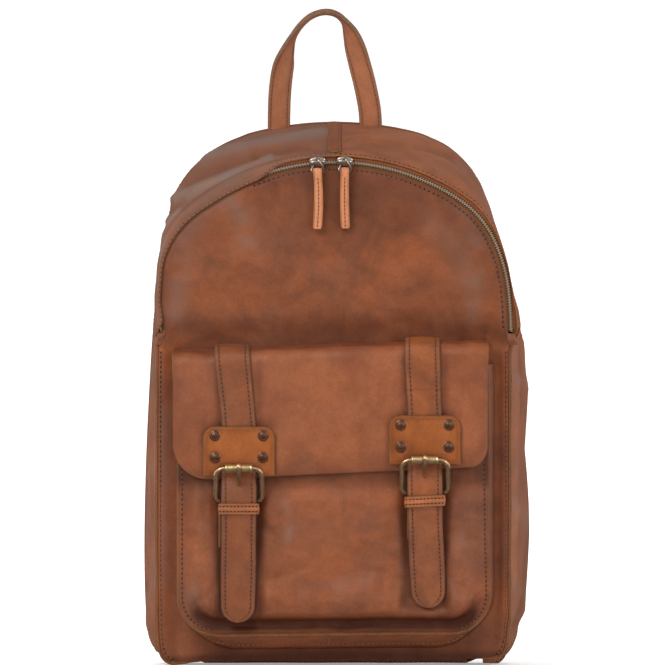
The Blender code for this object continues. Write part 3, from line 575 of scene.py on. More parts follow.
def sheet(name, points, thick, material, body=None, dye_and_shade=0.0, raw=0.0, bloom_and_sheen=0.0, out=FRONTWARD,
          rim_dye_and_shade=0.0, rim_raw=1.0, lip=0.3, replaces=()):
    """A skin of leather: outer grid, inner grid and a rounded rim. Returns it and its normals."""
    facing = grid_normals(points, out)
    m, n = points.shape[:2]
    rim = np.array(
        [(0, j) for j in range(n)] + [(i, n - 1) for i in range(1, m)]
        + [(m - 1, j) for j in range(n - 2, -1, -1)] + [(i, 0) for i in range(m - 2, 0, -1)])
    row, column = rim.T
    edge, rim_facing = points[row, column], facing[row, column]
    outward = edge - points[np.clip(row, 1, m - 2), np.clip(column, 1, n - 2)]
    outward -= rim_facing * np.sum(outward * rim_facing, -1, keepdims=True)
    outward = unit(outward)
    # Three loops round the rim: depth and overhang as shares of the thickness and lip.
    loops = [edge - rim_facing * thick * depth + outward * thick * lip * reach
             for depth, reach in ((0.22, 0.85), (0.5, 1.15), (0.78, 0.85))]
    inner = points - facing * thick
    vertices = np.concatenate([points.reshape(-1, 3), inner.reshape(-1, 3), *loops])
    index = np.arange(m * n).reshape(m, n)
    quads = np.stack([index[:-1, :-1], index[1:, :-1], index[1:, 1:], index[:-1, 1:]], -1)
    quads = quads.reshape(-1, 4)
    count = len(rim)
    flat = index[row, column]
    bands = [flat] + [2 * m * n + k * count + np.arange(count) for k in range(3)] + [flat + m * n]
    faces = quads.tolist() + (quads[:, ::-1] + m * n).tolist() + band_faces(bands)

    def attribute(values, inner_values, rim_value):
        values = np.clip(np.broadcast_to(values, (m, n)), 0, 1).ravel()
        return np.concatenate([values, inner_values(values), np.full(3 * count, rim_value)])

    # Painted sheen (partly bloom), painted shade with dark dye, and cut edges.
    attributes = {
        "bloom_and_sheen": attribute(bloom_and_sheen, lambda v: v * 0, 0.0),
        "dye_and_shade": attribute(dye_and_shade, lambda v: v * 0.5, rim_dye_and_shade),
        "raw": attribute(raw, lambda v: v * 0 + 0.6, rim_raw),
    }
    return build(name, vertices, faces, material, body, attributes, replaces), facing


def ribbon(name, line, across, half, thick, material, body, crown=0.3, groove=3.4, dye_and_shade=0.12,
           facing=None, closed=False):
    """A flat strap with bevelled edges and a sewing channel, in place of the solid of that name.

    Returns the piece, a function that finds points on its top, and its length.
    """
    across = unit(np.broadcast_to(np.asarray(across, float), line.shape).copy())
    half = np.broadcast_to(np.asarray(half, float), (len(line),))
    if facing is None:
        facing = unit(np.cross(across, unit(np.gradient(line, axis=0))))
        if np.sum(facing * FRONTWARD) < 0:
            facing = -facing
    t = thick / 2
    profile = np.array([
        # inset from the edge, height, raw, darkening (dark edge dye and painted shade)
        (0.35, -t, 0.4, 0.3), (0.0, -t + 0.45, 1.0, 0.2), (0.0, t - 0.8, 1.0, 0.1),
        (0.45, t - 0.22, 0.85, 0.0), (1.15, t, 0.15, 0.05),
        (groove - 1.0, t + 0.06, 0, dye_and_shade), (groove - 0.45, t - 0.02, 0, dye_and_shade + 0.15),
        (groove, t - 0.20, 0, dye_and_shade + 0.35), (groove + 0.45, t - 0.02, 0, dye_and_shade + 0.15),
        (groove + 1.0, t + 0.08, 0, dye_and_shade * 0.6),
        (groove + 2.6, t + 0.08 + crown * 0.5, 0, dye_and_shade * 0.2),
    ])
    sections = []
    for h in half:
        squeeze = min(1.0, h / (groove + 4.0))
        left = [(-h + inset * squeeze, height) for inset, height in profile[:, :2]]
        middle = 0.45 * max(h - (groove + 2.6) * squeeze, 0)
        crest = [(-middle, t + 0.1 + crown * 0.9), (0, t + 0.1 + crown),
                 (middle, t + 0.1 + crown * 0.9)]
        right = [(-a, b) for a, b in reversed(left)]
        sections.append(left + crest + right + [(h * 0.4, -t), (-h * 0.4, -t)])
    raw, dark = profile[:, 2].tolist(), profile[:, 3].tolist()
    attributes = {
        "dye_and_shade": (dark + [dye_and_shade * 0.1, 0, dye_and_shade * 0.1] + dark[::-1] + [0.3, 0.3]) * len(line),
        "raw": (raw + [0, 0, 0] + raw[::-1] + [0.5, 0.5]) * len(line),
    }
    piece = rings(name, sweep(line, across, facing, sections), material, body, closed=closed,
                  attributes=attributes, replaces=(name,))
    distances = lengths(line)

    def top(offset, place, lift=0.0):
        side = unit(at_length(across, place, distances))
        normal = unit(at_length(facing, place, distances))
        middle = at_length(line, place, distances)
        return middle + side * np.asarray(offset)[..., None] + normal * (t - 0.12 + lift), normal

    return piece, top, distances[-1]


def cells(outline_points, step):
    """The inside of a closed outline cut into a grid: points, faces and the boundary loop."""
    work = bmesh.new()
    work.faces.new([work.verts.new((a, b, 0)) for a, b in outline_points])
    for axis in (0, 1):
        low, high = outline_points[:, axis].min(), outline_points[:, axis].max()
        for cut in np.arange(math.ceil(low / step) * step, high, step):
            origin, normal = [0, 0, 0], [0, 0, 0]
            origin[axis], normal[axis] = cut, 1
            bmesh.ops.bisect_plane(work, geom=work.verts[:] + work.edges[:] + work.faces[:],
                                   plane_co=origin, plane_no=normal, dist=1e-5)
    work.verts.index_update()
    points = np.array([v.co[:2] for v in work.verts])
    faces = [[v.index for v in f.verts] for f in work.faces]
    edges = [(e.verts[0].index, e.verts[1].index) for e in work.edges if len(e.link_faces) == 1]
    work.free()
    neighbours = {}
    for a, b in edges:
        neighbours.setdefault(a, []).append(b)
        neighbours.setdefault(b, []).append(a)
    loop = [edges[0][0], edges[0][1]]
    while True:
        following = [q for q in neighbours[loop[-1]] if q != loop[-2]][0]
        if following == loop[0]:
            break
        loop.append(following)
    area = sum(points[a][0] * points[b][1] - points[b][0] * points[a][1]
               for a, b in zip(loop, loop[1:] + loop[:1]))
    if area < 0:
        loop.reverse()
    return points, faces, loop


def patch(name, outline_points, place, height, thick, material, body, step, raw_edge=1.0,
          dye_and_shade=0.1):
    """A flat leather piece of any outline, in place of the solid of that name.

    height(a, b) lifts it; place(a, b, lift) puts it in the bag.
    """
    bevel = 0.7
    outline_points = np.array(outline_points, float)
    points, faces, loop = cells(outline_points, step)
    inset = to_line(points, np.vstack([outline_points, outline_points[:1]]))
    lift = height(*points.T)
    count = len(points)
    edge, edge_lift = points[loop], lift[loop]
    along = unit(np.roll(edge, -1, 0) - np.roll(edge, 1, 0))
    outward = np.stack([along[:, 1], -along[:, 0]], 1)
    vertices = [place(*points.T, lift + thick / 2 - bevel * 0.55 * np.exp(-inset / 0.8)),
                place(*points.T, lift - thick / 2)]
    # Overhang and height of three loops round the rim.
    rim = ((0.42, thick / 2 - bevel), (0.62, 0.0), (0.42, -thick / 2 + 0.35))
    vertices += [place(*(edge + outward * reach).T, edge_lift + rise) for reach, rise in rim]
    size = len(loop)
    bands = [loop] + [[2 * count + k * size + i for i in range(size)] for k in range(3)]
    faces = faces + [[v + count for v in f] for f in faces]
    faces += band_faces(bands + [[v + count for v in loop]])
    dark = np.clip(dye_and_shade + 0.35 * np.exp(-((inset - 2.0) / 1.6) ** 2), 0, 1)
    attributes = {
        "dye_and_shade": [*dark] + [0.3] * count + [0.1] * (3 * size),
        "raw": [*(0.85 * np.exp(-inset / 0.45) * raw_edge)] + [0.4] * count
        + [raw_edge] * (3 * size),
    }
    build(name, np.concatenate(vertices), faces, material, body, attributes, (name,))


def mirrored(quarter):
    """A whole section from a quarter; rows hold across, height, raw and darkening (dark dye and
    painted shade).
    """
    turns = ((1, 1, quarter), (-1, 1, quarter[-2::-1]), (-1, -1, quarter[:-1]),
             (1, -1, quarter[::-1]))
    return np.array([(a * sign_a, b * sign_b, raw, dye_and_shade)
                     for sign_a, sign_b, part in turns for a, b, raw, dye_and_shade in part])


# ------------------------------------------------------------------ stitching
# Stitches gather here by (body or bend, tag), then make one mesh of each kind per group.
SEWN = {}


def sew(group, points, facing, pitch=3.7, hole=0.76, width=0.38, light=False, lift=0.0):
    """Sews along a line: threads between needle holes of radius hole."""
    distances = lengths(points)
    facing = np.broadcast_to(np.asarray(facing, float), points.shape)
    count = int(distances[-1] // pitch)
    pitch = distances[-1] / count

    def at(places):
        p = at_length(points, places, distances)
        normal = unit(at_length(facing, places, distances))
        along = unit(np.gradient(p, axis=0))
        return p, normal, along, np.cross(along, normal)

    store = SEWN.setdefault(group, {kind: ([], []) for kind in ("thread", "thread_light", "hole")})
    blocks, faces = store["thread_light" if light else "thread"]
    angle = (np.arange(6) * math.pi / 3)[:, None]
    for k in range(count):
        ends = k * pitch + hole * 0.75, (k + 1) * pitch - hole * 0.75
        p, normal, _, side = at(np.linspace(*ends, 5))
        faces += skin_faces(5, 6, base=30 * len(blocks))
        # Fatness and height of the five rings of a thread.
        shape = ((0.35, -0.12), (0.92, 0.10), (1.0, 0.16), (0.92, 0.10), (0.35, -0.12))
        blocks.append(np.concatenate([
            p[i] + normal[i] * (height + lift + np.sin(angle) * width * 0.75 * fat)
            + side[i] * np.cos(angle) * width * fat
            for i, (fat, height) in enumerate(shape)]))
    # Dark cones sunk at the needle holes stand for the shade inside them.
    blocks, faces = store["hole"]
    angle = (np.arange(8) * math.pi / 4)[:, None]
    for p, normal, along, side in zip(*at(np.arange(count + 1) * pitch)):
        base = 10 * len(blocks)
        rim = (p + normal * (0.02 + lift)
               + (along * np.cos(angle) + side * np.sin(angle)) * hole)
        blocks.append(np.vstack([p + normal * (0.16 + lift), p - normal * 0.5, rim]))
        for a in range(8):
            b = (a + 1) % 8
            faces.append((base, base + 2 + a, base + 2 + b))
            faces.append((base + 1, base + 2 + b, base + 2 + a))


def finish_sewing():
    for (body, tag), store in SEWN.items():
        bends = isinstance(body, tuple)
        for kind, (blocks, faces) in store.items():
            if blocks:
                piece = build(f"{kind}_{tag}", np.concatenate(blocks), faces, kind,
                              None if bends else body)
                if bends:
                    bend_between(piece, body)


def sew_both_edges(group, top, length, offset, start, end):
    places = np.linspace(start, length - end, 200)
    for sign in (-1, 1):
        sew(group, *top(np.full(200, sign * offset), places), pitch=3.2)


# ------------------------------------------------------------------ body outlines
ARC_R, ARC_Z = 167.0, 209.0  # the arch of the zip
# Right halves in (x, z), from the middle of the base to the top. Stations run from 0 to 20.
FRONT = np.array([
    (0, 0), (60, 0), (110, 0), (122.5, 1.8), (129, 8.8), (131.2, 27), (131.8, 80), (132, 140),
    (132, 200), (131.5, 245), (129.6, 270), (126.6, 290), (121.6, 309), (114.3, 325.5),
    (103.3, 339.5),
    *[(ARC_R * math.sin(math.radians(turn)), ARC_Z + ARC_R * math.cos(math.radians(turn)))
      for turn in (32, 25.6, 19.2, 12.8, 6.4, 0)],
], float)
BACK = np.array([
    (0, 0), (60, 0), (118, 0), (132, 2.8), (140.5, 12), (144, 32), (145.3, 85), (144, 150),
    (141.5, 205), (139, 247), (136, 275), (131.5, 303), (126, 325), (117.5, 348), (104.5, 371.5),
    (87, 388.5), (67.5, 397.8), (50, 402.4), (33, 405.2), (16.5, 406.9), (0, 407.4),
], float)


def outline(half_outline, t):
    """Points and outward directions on a right half outline at stations t."""
    t = np.asarray(t, float)
    mirror = half_outline * [-1, 1]
    full = np.concatenate([mirror[1:2], half_outline, mirror[-2:-1]])
    k = np.clip(np.floor(t).astype(int), 0, len(half_outline) - 2)
    f = (t - k)[..., None]
    p0, p1, p2, p3 = full[k], full[k + 1], full[k + 2], full[k + 3]
    points = spline(p0, p1, p2, p3, f)
    along = ((p2 - p0) + 2 * (2 * p0 - 5 * p1 + 4 * p2 - p3) * f
             + 3 * (3 * p1 - p0 - 3 * p2 + p3) * f * f)
    points[..., 1] = np.where(t <= 2, 0.0, np.maximum(points[..., 1], 0))
    along[t <= 2] = (1, 0)
    along = unit(along)
    return points, np.stack([along[..., 1], -along[..., 0]], -1)


def skew(x, z):
    """The left shoulder of the front is fuller than the right."""
    return np.where(x < 0, -4.8 * bump(z - 305, 28) * smooth(60, 112, -x),
                    1.4 * bump(z - 290, 30) * smooth(60, 112, x))


def around(half_outline, stations, offset=0.0):
    """Whole outline: stations run to +20 up the right side and to -20 up the left."""
    stations = np.asarray(stations, float)
    points, normals = outline(half_outline, np.abs(stations))
    sign = np.where(stations < 0, -1.0, 1.0)
    mirror = np.stack([sign, np.ones_like(sign)], -1)
    points = (points + normals * np.asarray(offset, float)[..., None]) * mirror
    if half_outline is FRONT:
        points[..., 0] += skew(points[..., 0], points[..., 1])
    return points, normals * mirror


def coons(bottom, top, left, right):
    """Grid filling four edges: bottom and top run left to right, left and right run up."""
    u = np.linspace(0, 1, len(bottom))[None, :, None]
    v = np.linspace(0, 1, len(left))[:, None, None]
    corners = ((1 - u) * (1 - v) * bottom[0] + u * (1 - v) * bottom[-1]
               + (1 - u) * v * top[0] + u * v * top[-1])
    return ((1 - v) * bottom[None] + v * top[None] + (1 - u) * left[:, None]
            + u * right[:, None] - corners)


def fill_grid(half_outline, low, high, columns, rows, offset):
    """A grid over the whole outline, with corners at stations low and high on each side.
    Rows go up, columns go right. offset(station) moves the edge out."""
    def run(start, end, count):
        stations = np.linspace(start, end, count)
        return around(half_outline, stations, offset(np.abs(stations)))[0]
    bottom = even(run(-low, low, 120), columns)
    right = even(run(low, high, 400), rows)
    left = even(run(-low, -high, 400), rows)
    top = np.concatenate([run(-high, -20, 200), run(20, high, 200)[1:]])
    return np.moveaxis(coons(bottom, even(top, columns), left, right), -1, 0)


def edge_distance(x, z, half_outline, count, offset):
    """Distance of grid points from the offset outline."""
    stations = np.linspace(-19.999, 19.999, count)
    border = around(half_outline, stations, offset(np.abs(stations)))[0]
    return to_line(np.stack([x, z], -1), border)


def lean(x, z, depth):
    """The soft shoulders of the bag sit a little to the left at the back (depth 1)."""
    left = -7.2 * bump(z - 358, 33)
    right = -4.6 * bump(z - 326, 30)
    share = smooth(-45, 45, x)
    return (left * (1 - share) + right * share) * depth


def surface_at(line, x, y, z, lift):
    """Lays (x, z) points on a face given as a grid."""
    flat = np.stack([x.ravel(), z.ravel()], 1)
    depth = y.ravel()
    laid = []
    for p in line:
        distance = ((flat - p) ** 2).sum(1)
        k = np.argpartition(distance, 4)[:4]
        weight = 1 / (distance[k] + 1e-3)
        laid.append((p[0], (depth[k] * weight).sum() / weight.sum() - lift, p[1]))
    return np.array(laid)


# ------------------------------------------------------------------ front panel
FOLD_BEND = ("shell", "mouth", (0, -0.052, 0.2375), (0, -0.052, 0.2505))


def panel_offset(t):
    return 1.3 - 3.7 * smooth(8.85, 9.12, t)


def front_panel():
    """The front face of the body, which dips at a fold above the flap."""
    x, z = fill_grid(FRONT, 3.0, 13.0, columns=150, rows=205, offset=panel_offset)
    edge = edge_distance(x, z, FRONT, 900, panel_offset)
    flat = grid(x, 0.0, z)
    broad, small = waves(flat, 11, 110), waves(flat, 12, 38)
    wide = np.abs(x)
    # Puffed middle above the fold, soft waves, and pushes beside the fold and the zip's left end.
    dome = smooth(250, 300, z) * smooth(0, 60, edge)
    puff = 2.6 * dome * (1 - 0.35 * bump(x - 10, 25) * smooth(360, 300, z))
    puff += 0.5 * broad * smooth(6, 40, edge) + 0.22 * small * smooth(5, 25, edge)
    puff -= 1.5 * smooth(262, 246, z) * smooth(2, 12, edge)
    puff += ridges(x, z, [
        ([(-119, 263), (-118, 243), (-124, 238)], 0.9, 6.0),
        ([(30, 252), (70, 262), (112, 258)], -0.7, 5.0),
    ])
    roll = 1.6 * np.exp(-edge / 2.2)  # the edge rolls under
    groove = 0.35 * bump(edge - 3.2, 0.9) * smooth(240, 250, z)
    y = -(52.5 + np.minimum(puff, 3.4) - roll - groove)
    # Darker at the rolled edge, painted shade in the fold above the flap, and dark clouds on the
    # upper part.
    dye_and_shade = 0.30 * np.exp(-edge / 3.0) * (z > 236) + 0.16 * np.exp(-edge / 18.0)
    dye_and_shade += 0.55 * smooth(272, 246, z) * (0.75 + 0.35 * small)
    dye_and_shade += 0.26 * bump(z - 345, 34) * bump(x - 5, 62)
    dye_and_shade += 0.20 * bump(x + 40, 30) * bump(z - 300, 40) * (0.6 + 0.4 * broad)
    dye_and_shade += 0.18 * bump(x - 60, 30) * bump(z - 330, 30)
    dye_and_shade += 0.22 * smooth(290, 345, z) * smooth(95, 40, wide) * (0.7 + 0.3 * broad)
    # Below the fold, painted shade follows the pocket's sides, and the foot is darker.
    low_dye_and_shade = (0.05 + 0.14 * bump(wide - 121, 4.0) + 0.5 * smooth(7, 1, z)
                + 0.30 * smooth(118, 100, wide) + 0.08 * broad)
    dye_and_shade += (low_dye_and_shade - dye_and_shade) * smooth(243, 236, z)
    dye_and_shade += 0.16 * smooth(66, 104, wide) * smooth(258, 280, z) * smooth(388, 350, z)
    dye_and_shade += 0.07 * smooth(262, 290, z)
    # Painted grey sheen where the light catches the sides and shoulders, partly the wax's bloom.
    bloom_and_sheen = ridges(x, z, [
        ([(-121, 262), (-120, 240), (-113, 300)], 0.65 * smooth(-0.6, 0.8, small + 0.4), 7),
        ([(-112, 320), (-96, 345), (-80, 352)], 0.55, 8),
        ([(-78, 350), (-70, 335), (-66, 318)], 0.60 * smooth(-0.8, 0.6, small), 9),
        ([(96, 342), (106, 318), (104, 285), (101, 262)], 0.55 * smooth(-0.6, 0.6, small), 7),
        ([(72, 330), (92, 312), (100, 290)], 0.40, 9),
        ([(-128, 190), (-128, 60)], 0.35, 4),
    ])
    panel, _ = sheet(
        "front_panel", grid(x, y, z), 2.2, "body", dye_and_shade=np.clip(dye_and_shade, 0, 0.9), bloom_and_sheen=bloom_and_sheen,
        raw=smooth(1.2, 0.5, edge) * (0.12 + 0.78 * smooth(240, 250, z)),
        rim_dye_and_shade=0.35, rim_raw=0.12, replaces=("front_panel_lower", "front_panel_upper"))
    bend_between(panel, FOLD_BEND)

    flat_points = np.stack([x.ravel(), z.ravel()], 1)

    def seam(start, end, inset):
        stations = np.linspace(start, end, 500)
        line = around(FRONT, stations, panel_offset(np.abs(stations)) - inset)[0]
        nearest = [np.argmin(((flat_points - p) ** 2).sum(1)) for p in line]
        depth = np.pad(y.ravel()[nearest] - 0.05, 4, mode="edge")
        return grid(line[:, 0], np.convolve(depth, np.ones(9) / 9, "valid"), line[:, 1])

    for sign in (-1, 1):
        line = seam(9.25 * sign, 19.95 * sign, 3.4)
        shown = line[:, 0] > -61  # further left the row is under the gusset's edge
        sew((FOLD_BEND, "arch"), line[shown], FRONTWARD, lift=0.05)
    for sign in (-1, 1):
        sew(("shell", "front_side"), seam(3.0 * sign, 8.7 * sign, 2.2), FRONTWARD, lift=0.05)


# ------------------------------------------------------------------ gussets
# By side: a line in (x, z), a height and a width.
TOP_CREASES = {
    -1: [
        ([(-3, 399.5), (-26.8, 394.9), (-54, 390.3), (-84, 385), (-99, 381)], 3.4, 3.4),
        ([(-48.7, 379.5), (-69, 371), (-84, 364), (-104.6, 357), (-114.4, 352.6), (-122, 348.5)],
         2.4, 3.0),
        ([(-117.4, 340), (-127, 332)], 1.5, 2.8),
        ([(-60, 382), (-90, 373), (-112, 362)], -2.4, 3.0),
        ([(-113, 346), (-126, 338)], -1.0, 2.4),
        ([(-20, 388), (-60, 384.5)], -1.4, 2.6),
        ([(-126, 318), (-134, 306)], 1.0, 3.0),
    ],
    1: [
        ([(30, 396.8), (67, 394.5)], 2.2, 2.8),
        ([(68, 383.5), (84, 377.5)], 1.8, 2.4),
        ([(86.5, 375), (102.3, 363), (110, 345), (117.4, 330)], 1.6, 1.8),
        ([(92, 377), (108, 362), (116, 342), (121, 326)], 1.4, 1.8),
        ([(60, 389), (88, 379.5)], -1.6, 2.6),
        ([(22, 391), (50, 389)], -1.0, 2.4),
    ],
}
LOW_CREASES = {
    -1: [
        ([(-138, 82), (-134.6, 60), (-143, 44)], 0.9, 1.8),
        ([(-141, 66), (-134, 60)], 0.8, 1.6),
        ([(-134, 150), (-142, 138)], 0.8, 3.0),
        ([(-133, 230), (-141, 214)], 0.9, 3.0),
    ],
    1: [
        ([(134, 215), (141, 205)], 0.9, 3.0),
        ([(134, 120), (142, 104)], 0.8, 3.0),
        ([(134, 60), (142, 50)], 0.8, 2.4),
    ],
}


def cover(t, side):
    """Where the left gusset lies over the zip: 1 along the shoulder, 0 elsewhere."""
    return smooth(9.04, 9.36, t) * smooth(18.3, 16.6, t) if side < 0 else t * 0.0


def gusset_out(t, side):
    """How far the gusset's front edge stands outside the zip line."""
    if side > 0:
        return 1.4 + 2.6 * smooth(8.85, 9.2, t)
    return 1.4 + 2.2 * smooth(8.85, 9.2, t) - 5.2 * smooth(9.06, 9.42, t) * smooth(18.1, 16.6, t)


def gusset(name, side, top):
    """One side of the surround, below or above the zip's ends.

    The first columns are the face that looks forward along the zip; then depth runs from 0 at
    the front to 1 at the back. Returns points, normals and depths.
    """
    if top:
        start, end, rows, columns, face_columns, seed = 8.97, 20.0, 300, 70, 10, 41 + side
    else:
        start, end, rows, columns, face_columns, seed = 2.02, 9.0, 190, 60, 4, 31 + side
    left = side < 0
    t = np.linspace(start, end, rows)
    front, front_normal = outline(FRONT, t)
    back, back_normal = outline(BACK, t)
    back = back + back_normal * -0.4
    behind = np.concatenate([np.linspace(0, 0.10, 12)[:-1],
                             np.linspace(0.10, 0.93, columns - 20),
                             np.linspace(0.93, 1, 10)[1:]])
    inner = gusset_out(t, side) - 1.5 * cover(t, side)
    outer = np.maximum(inner + 0.8, 1.8 + (4.8 if left else 4.4) * smooth(8.85, 9.3, t))

    def front_at(reach):
        points = front + front_normal * reach[:, None]
        points[:, 0] += side * skew(side * points[:, 0], points[:, 1])
        return points

    front_y = 51.0 + 1.4 * smooth(8.85, 9.2, t) + 2.0 * cover(t, side)
    corner, corner_y = front_at(outer), front_y - 0.9
    lines, depths_y, depth, line_normals = [], [], [], []
    for f in np.linspace(0, 1, face_columns, endpoint=False):
        lines.append(front_at(inner + (outer - inner) * f))
        curl = 0.55 * math.sin(math.pi * min(f * 1.2, 1)) - 0.9 * math.exp(-f / 0.12)
        depths_y.append(-(front_y + curl - 0.7 * f**4))
        depth.append(-0.001 - 0.06 * (1 - f))
        line_normals.append(front_normal)
    for v in behind:
        lines.append(corner * (1 - v) + back * v)
        depths_y.append(-corner_y + (49.0 + corner_y) * v)
        depth.append(v)
        line_normals.append(unit(front_normal * (1 - v) + back_normal * v))
    section, y = np.stack(lines, 1), np.stack(depths_y, 1)
    v, normal = np.array(depth), np.stack(line_normals, 1)
    low = t < 2.2
    section[low, :, 1] = np.maximum(section[low, :, 1], 0.2)
    inside = np.clip(v, 0, 1)
    # Fullness between the seams, with a roll behind the zip.
    swell = np.sin(np.pi * inside) ** 0.8
    if top:
        zip_roll = bump(inside - 0.10, 0.07) * (v > 0) * smooth(0, 0.05, inside)
        full = 2.0 * swell + 0.5 * bump(inside - 0.07, 0.03) * (v > 0)
        full = full + (3.0 if left else 0.6) * zip_roll * (
            smooth(9.2, 10.5, t) * smooth(18.2, 16.0, t))[:, None]
    else:
        full = 1.4 * swell * smooth(3.5, 5.5, t)[:, None]
    x = side * (section[..., 0] + normal[..., 0] * full)
    z = section[..., 1] + normal[..., 1] * full
    x = x + lean(x, z, inside)
    points = grid(x, y, z)
    # Creases and soft waves, held down at the seams and at the ends.
    free = (smooth(0.0, 0.12, v) * (0.25 + 0.75 * smooth(1.0, 0.78, v))
            * smooth(1.0, 0.97, v))
    strength = 0.6 if top and not left else 1.0
    lift, dark = np.zeros(x.shape), np.zeros(x.shape)
    for line, height, width in (TOP_CREASES if top else LOW_CREASES)[side]:
        distance = to_line(np.stack([x, z], -1), line)
        lift += height * strength * bump(distance, width * (1.5 if height < 0 else 1.15))
        # Painted shade in the hollows of the creases, painted light on their ridges.
        if height < 0:
            dark += 0.16 * bump(distance, width * 1.5)
        else:
            dark -= 0.20 * bump(distance, width)
    lift += 0.6 * waves(points, seed, 85) + 0.18 * waves(points, seed + 1, 30)
    lift *= smooth(2.6, 4.2, t)[:, None]
    if top:
        lift *= smooth(end + 0.0001, end - 0.9, t)[:, None]
    points[..., 0] += side * normal[..., 0] * lift * free
    points[..., 2] = np.maximum(points[..., 2] + normal[..., 1] * lift * free, 0.05)
    # Painted sheen on raised creases, less in their hollows.
    bloom_and_sheen = 0.12 + 0.45 * np.clip(lift / 3.0, 0, 1) - dark
    raw = 0.0
    if top:
        dye_and_shade = 0.26 if left else 0.02
        if left:
            bloom_and_sheen = 0.34 + 1.2 * bloom_and_sheen + 0.5 * bump(v - 0.08, 0.05) * cover(t, side)[:, None]
        else:
            bloom_and_sheen = bloom_and_sheen * 0.4
        fray = 0.55 + 0.45 * smooth(-0.5, 0.5, waves(points, seed + 5, 6))
        raw = smooth(-0.050, -0.056, v) * fray * (0.45 if left else 1.0)
        rim_raw = 0.45 if left else 0.8
    else:
        dye_and_shade = 0.0 if left else 0.08
        rim_raw = 0.1
    # Darker at the seams and towards the foot, with the crease shading added.
    dye_and_shade = dye_and_shade + 0.3 * np.exp(-(1 - v) / 0.03) + dark + 0.25 * bump(v, 0.02)
    dye_and_shade = dye_and_shade + 0.30 * smooth(16, 2, points[..., 2])
    _, facing = sheet(name, points, 2.0, "gusset", "shell", dye_and_shade=np.clip(dye_and_shade, 0, 0.92),
                      raw=raw, bloom_and_sheen=bloom_and_sheen, out="away", rim_dye_and_shade=0.3, rim_raw=rim_raw,
                      replaces=(name,))
    return points, facing, v


def gussets():
    """Both sides, sewn. Returns the last row of the top left gusset and its depths."""
    for tag, side in SIDES:
        points, facing, depth = gusset("side_gusset_" + tag, side, top=False)
        for seam, place, first in (("rear_", 0.965, 30), ("side_front_", 0.035, 24)):
            k = int(np.searchsorted(depth, place))
            sew(("shell", seam + tag), points[first:, k], facing[first:, k], lift=0.04)
        points, facing, depth = gusset("top_gusset_" + tag, side, top=True)
        if side < 0:
            joint = points[-1], depth
        # The seam keeps its inset from the edge, on the face and over its corner.
        inset = 3.6 - 2.3 * cover(np.linspace(8.97, 20.0, 300), side)
        seam_line, seam_facing = [], []
        for row, normals, place in zip(points[6:], facing[6:], inset[6:]):
            distances = lengths(row)
            seam_line.append(at_length(row, place, distances))
            seam_facing.append(at_length(normals, place, distances))
        sew(("shell", "zip_edge_" + tag), np.array(seam_line), np.array(seam_facing), lift=0.04,
            light=True, hole=0.76 if side > 0 else 0.42)
        k = int(np.searchsorted(depth, 0.965))
        sew(("shell", "rear_" + tag), points[2:, k], facing[2:, k], lift=0.04)
    return joint


def top_lap(joint_line, depth):
    """A strip over the joint of the two top gussets, from front to back."""
    half = 5.6
    widths = np.linspace(-half, half, 13)
    middle = at_length(joint_line, np.linspace(0.012, 0.985, 60), depth)
    middle[0, 1] -= 0.3
    sink = 0.9 * (np.abs(widths) / half) ** 3 + np.abs(widths) * 0.03
    points = grid(widths - 1.0, middle[:, 1:2], middle[:, 2:3] + 1.35 - sink)
    _, facing = sheet("top_lap", points, 1.6, "gusset", "shell",
                      dye_and_shade=0.25 + 0.35 * (np.abs(widths) > 5), rim_raw=0.8, out=(0, 0, 1))
    for column in (2, 10):
        sew(("shell", "lap"), points[:, column], facing[:, column], lift=0.05, light=True)


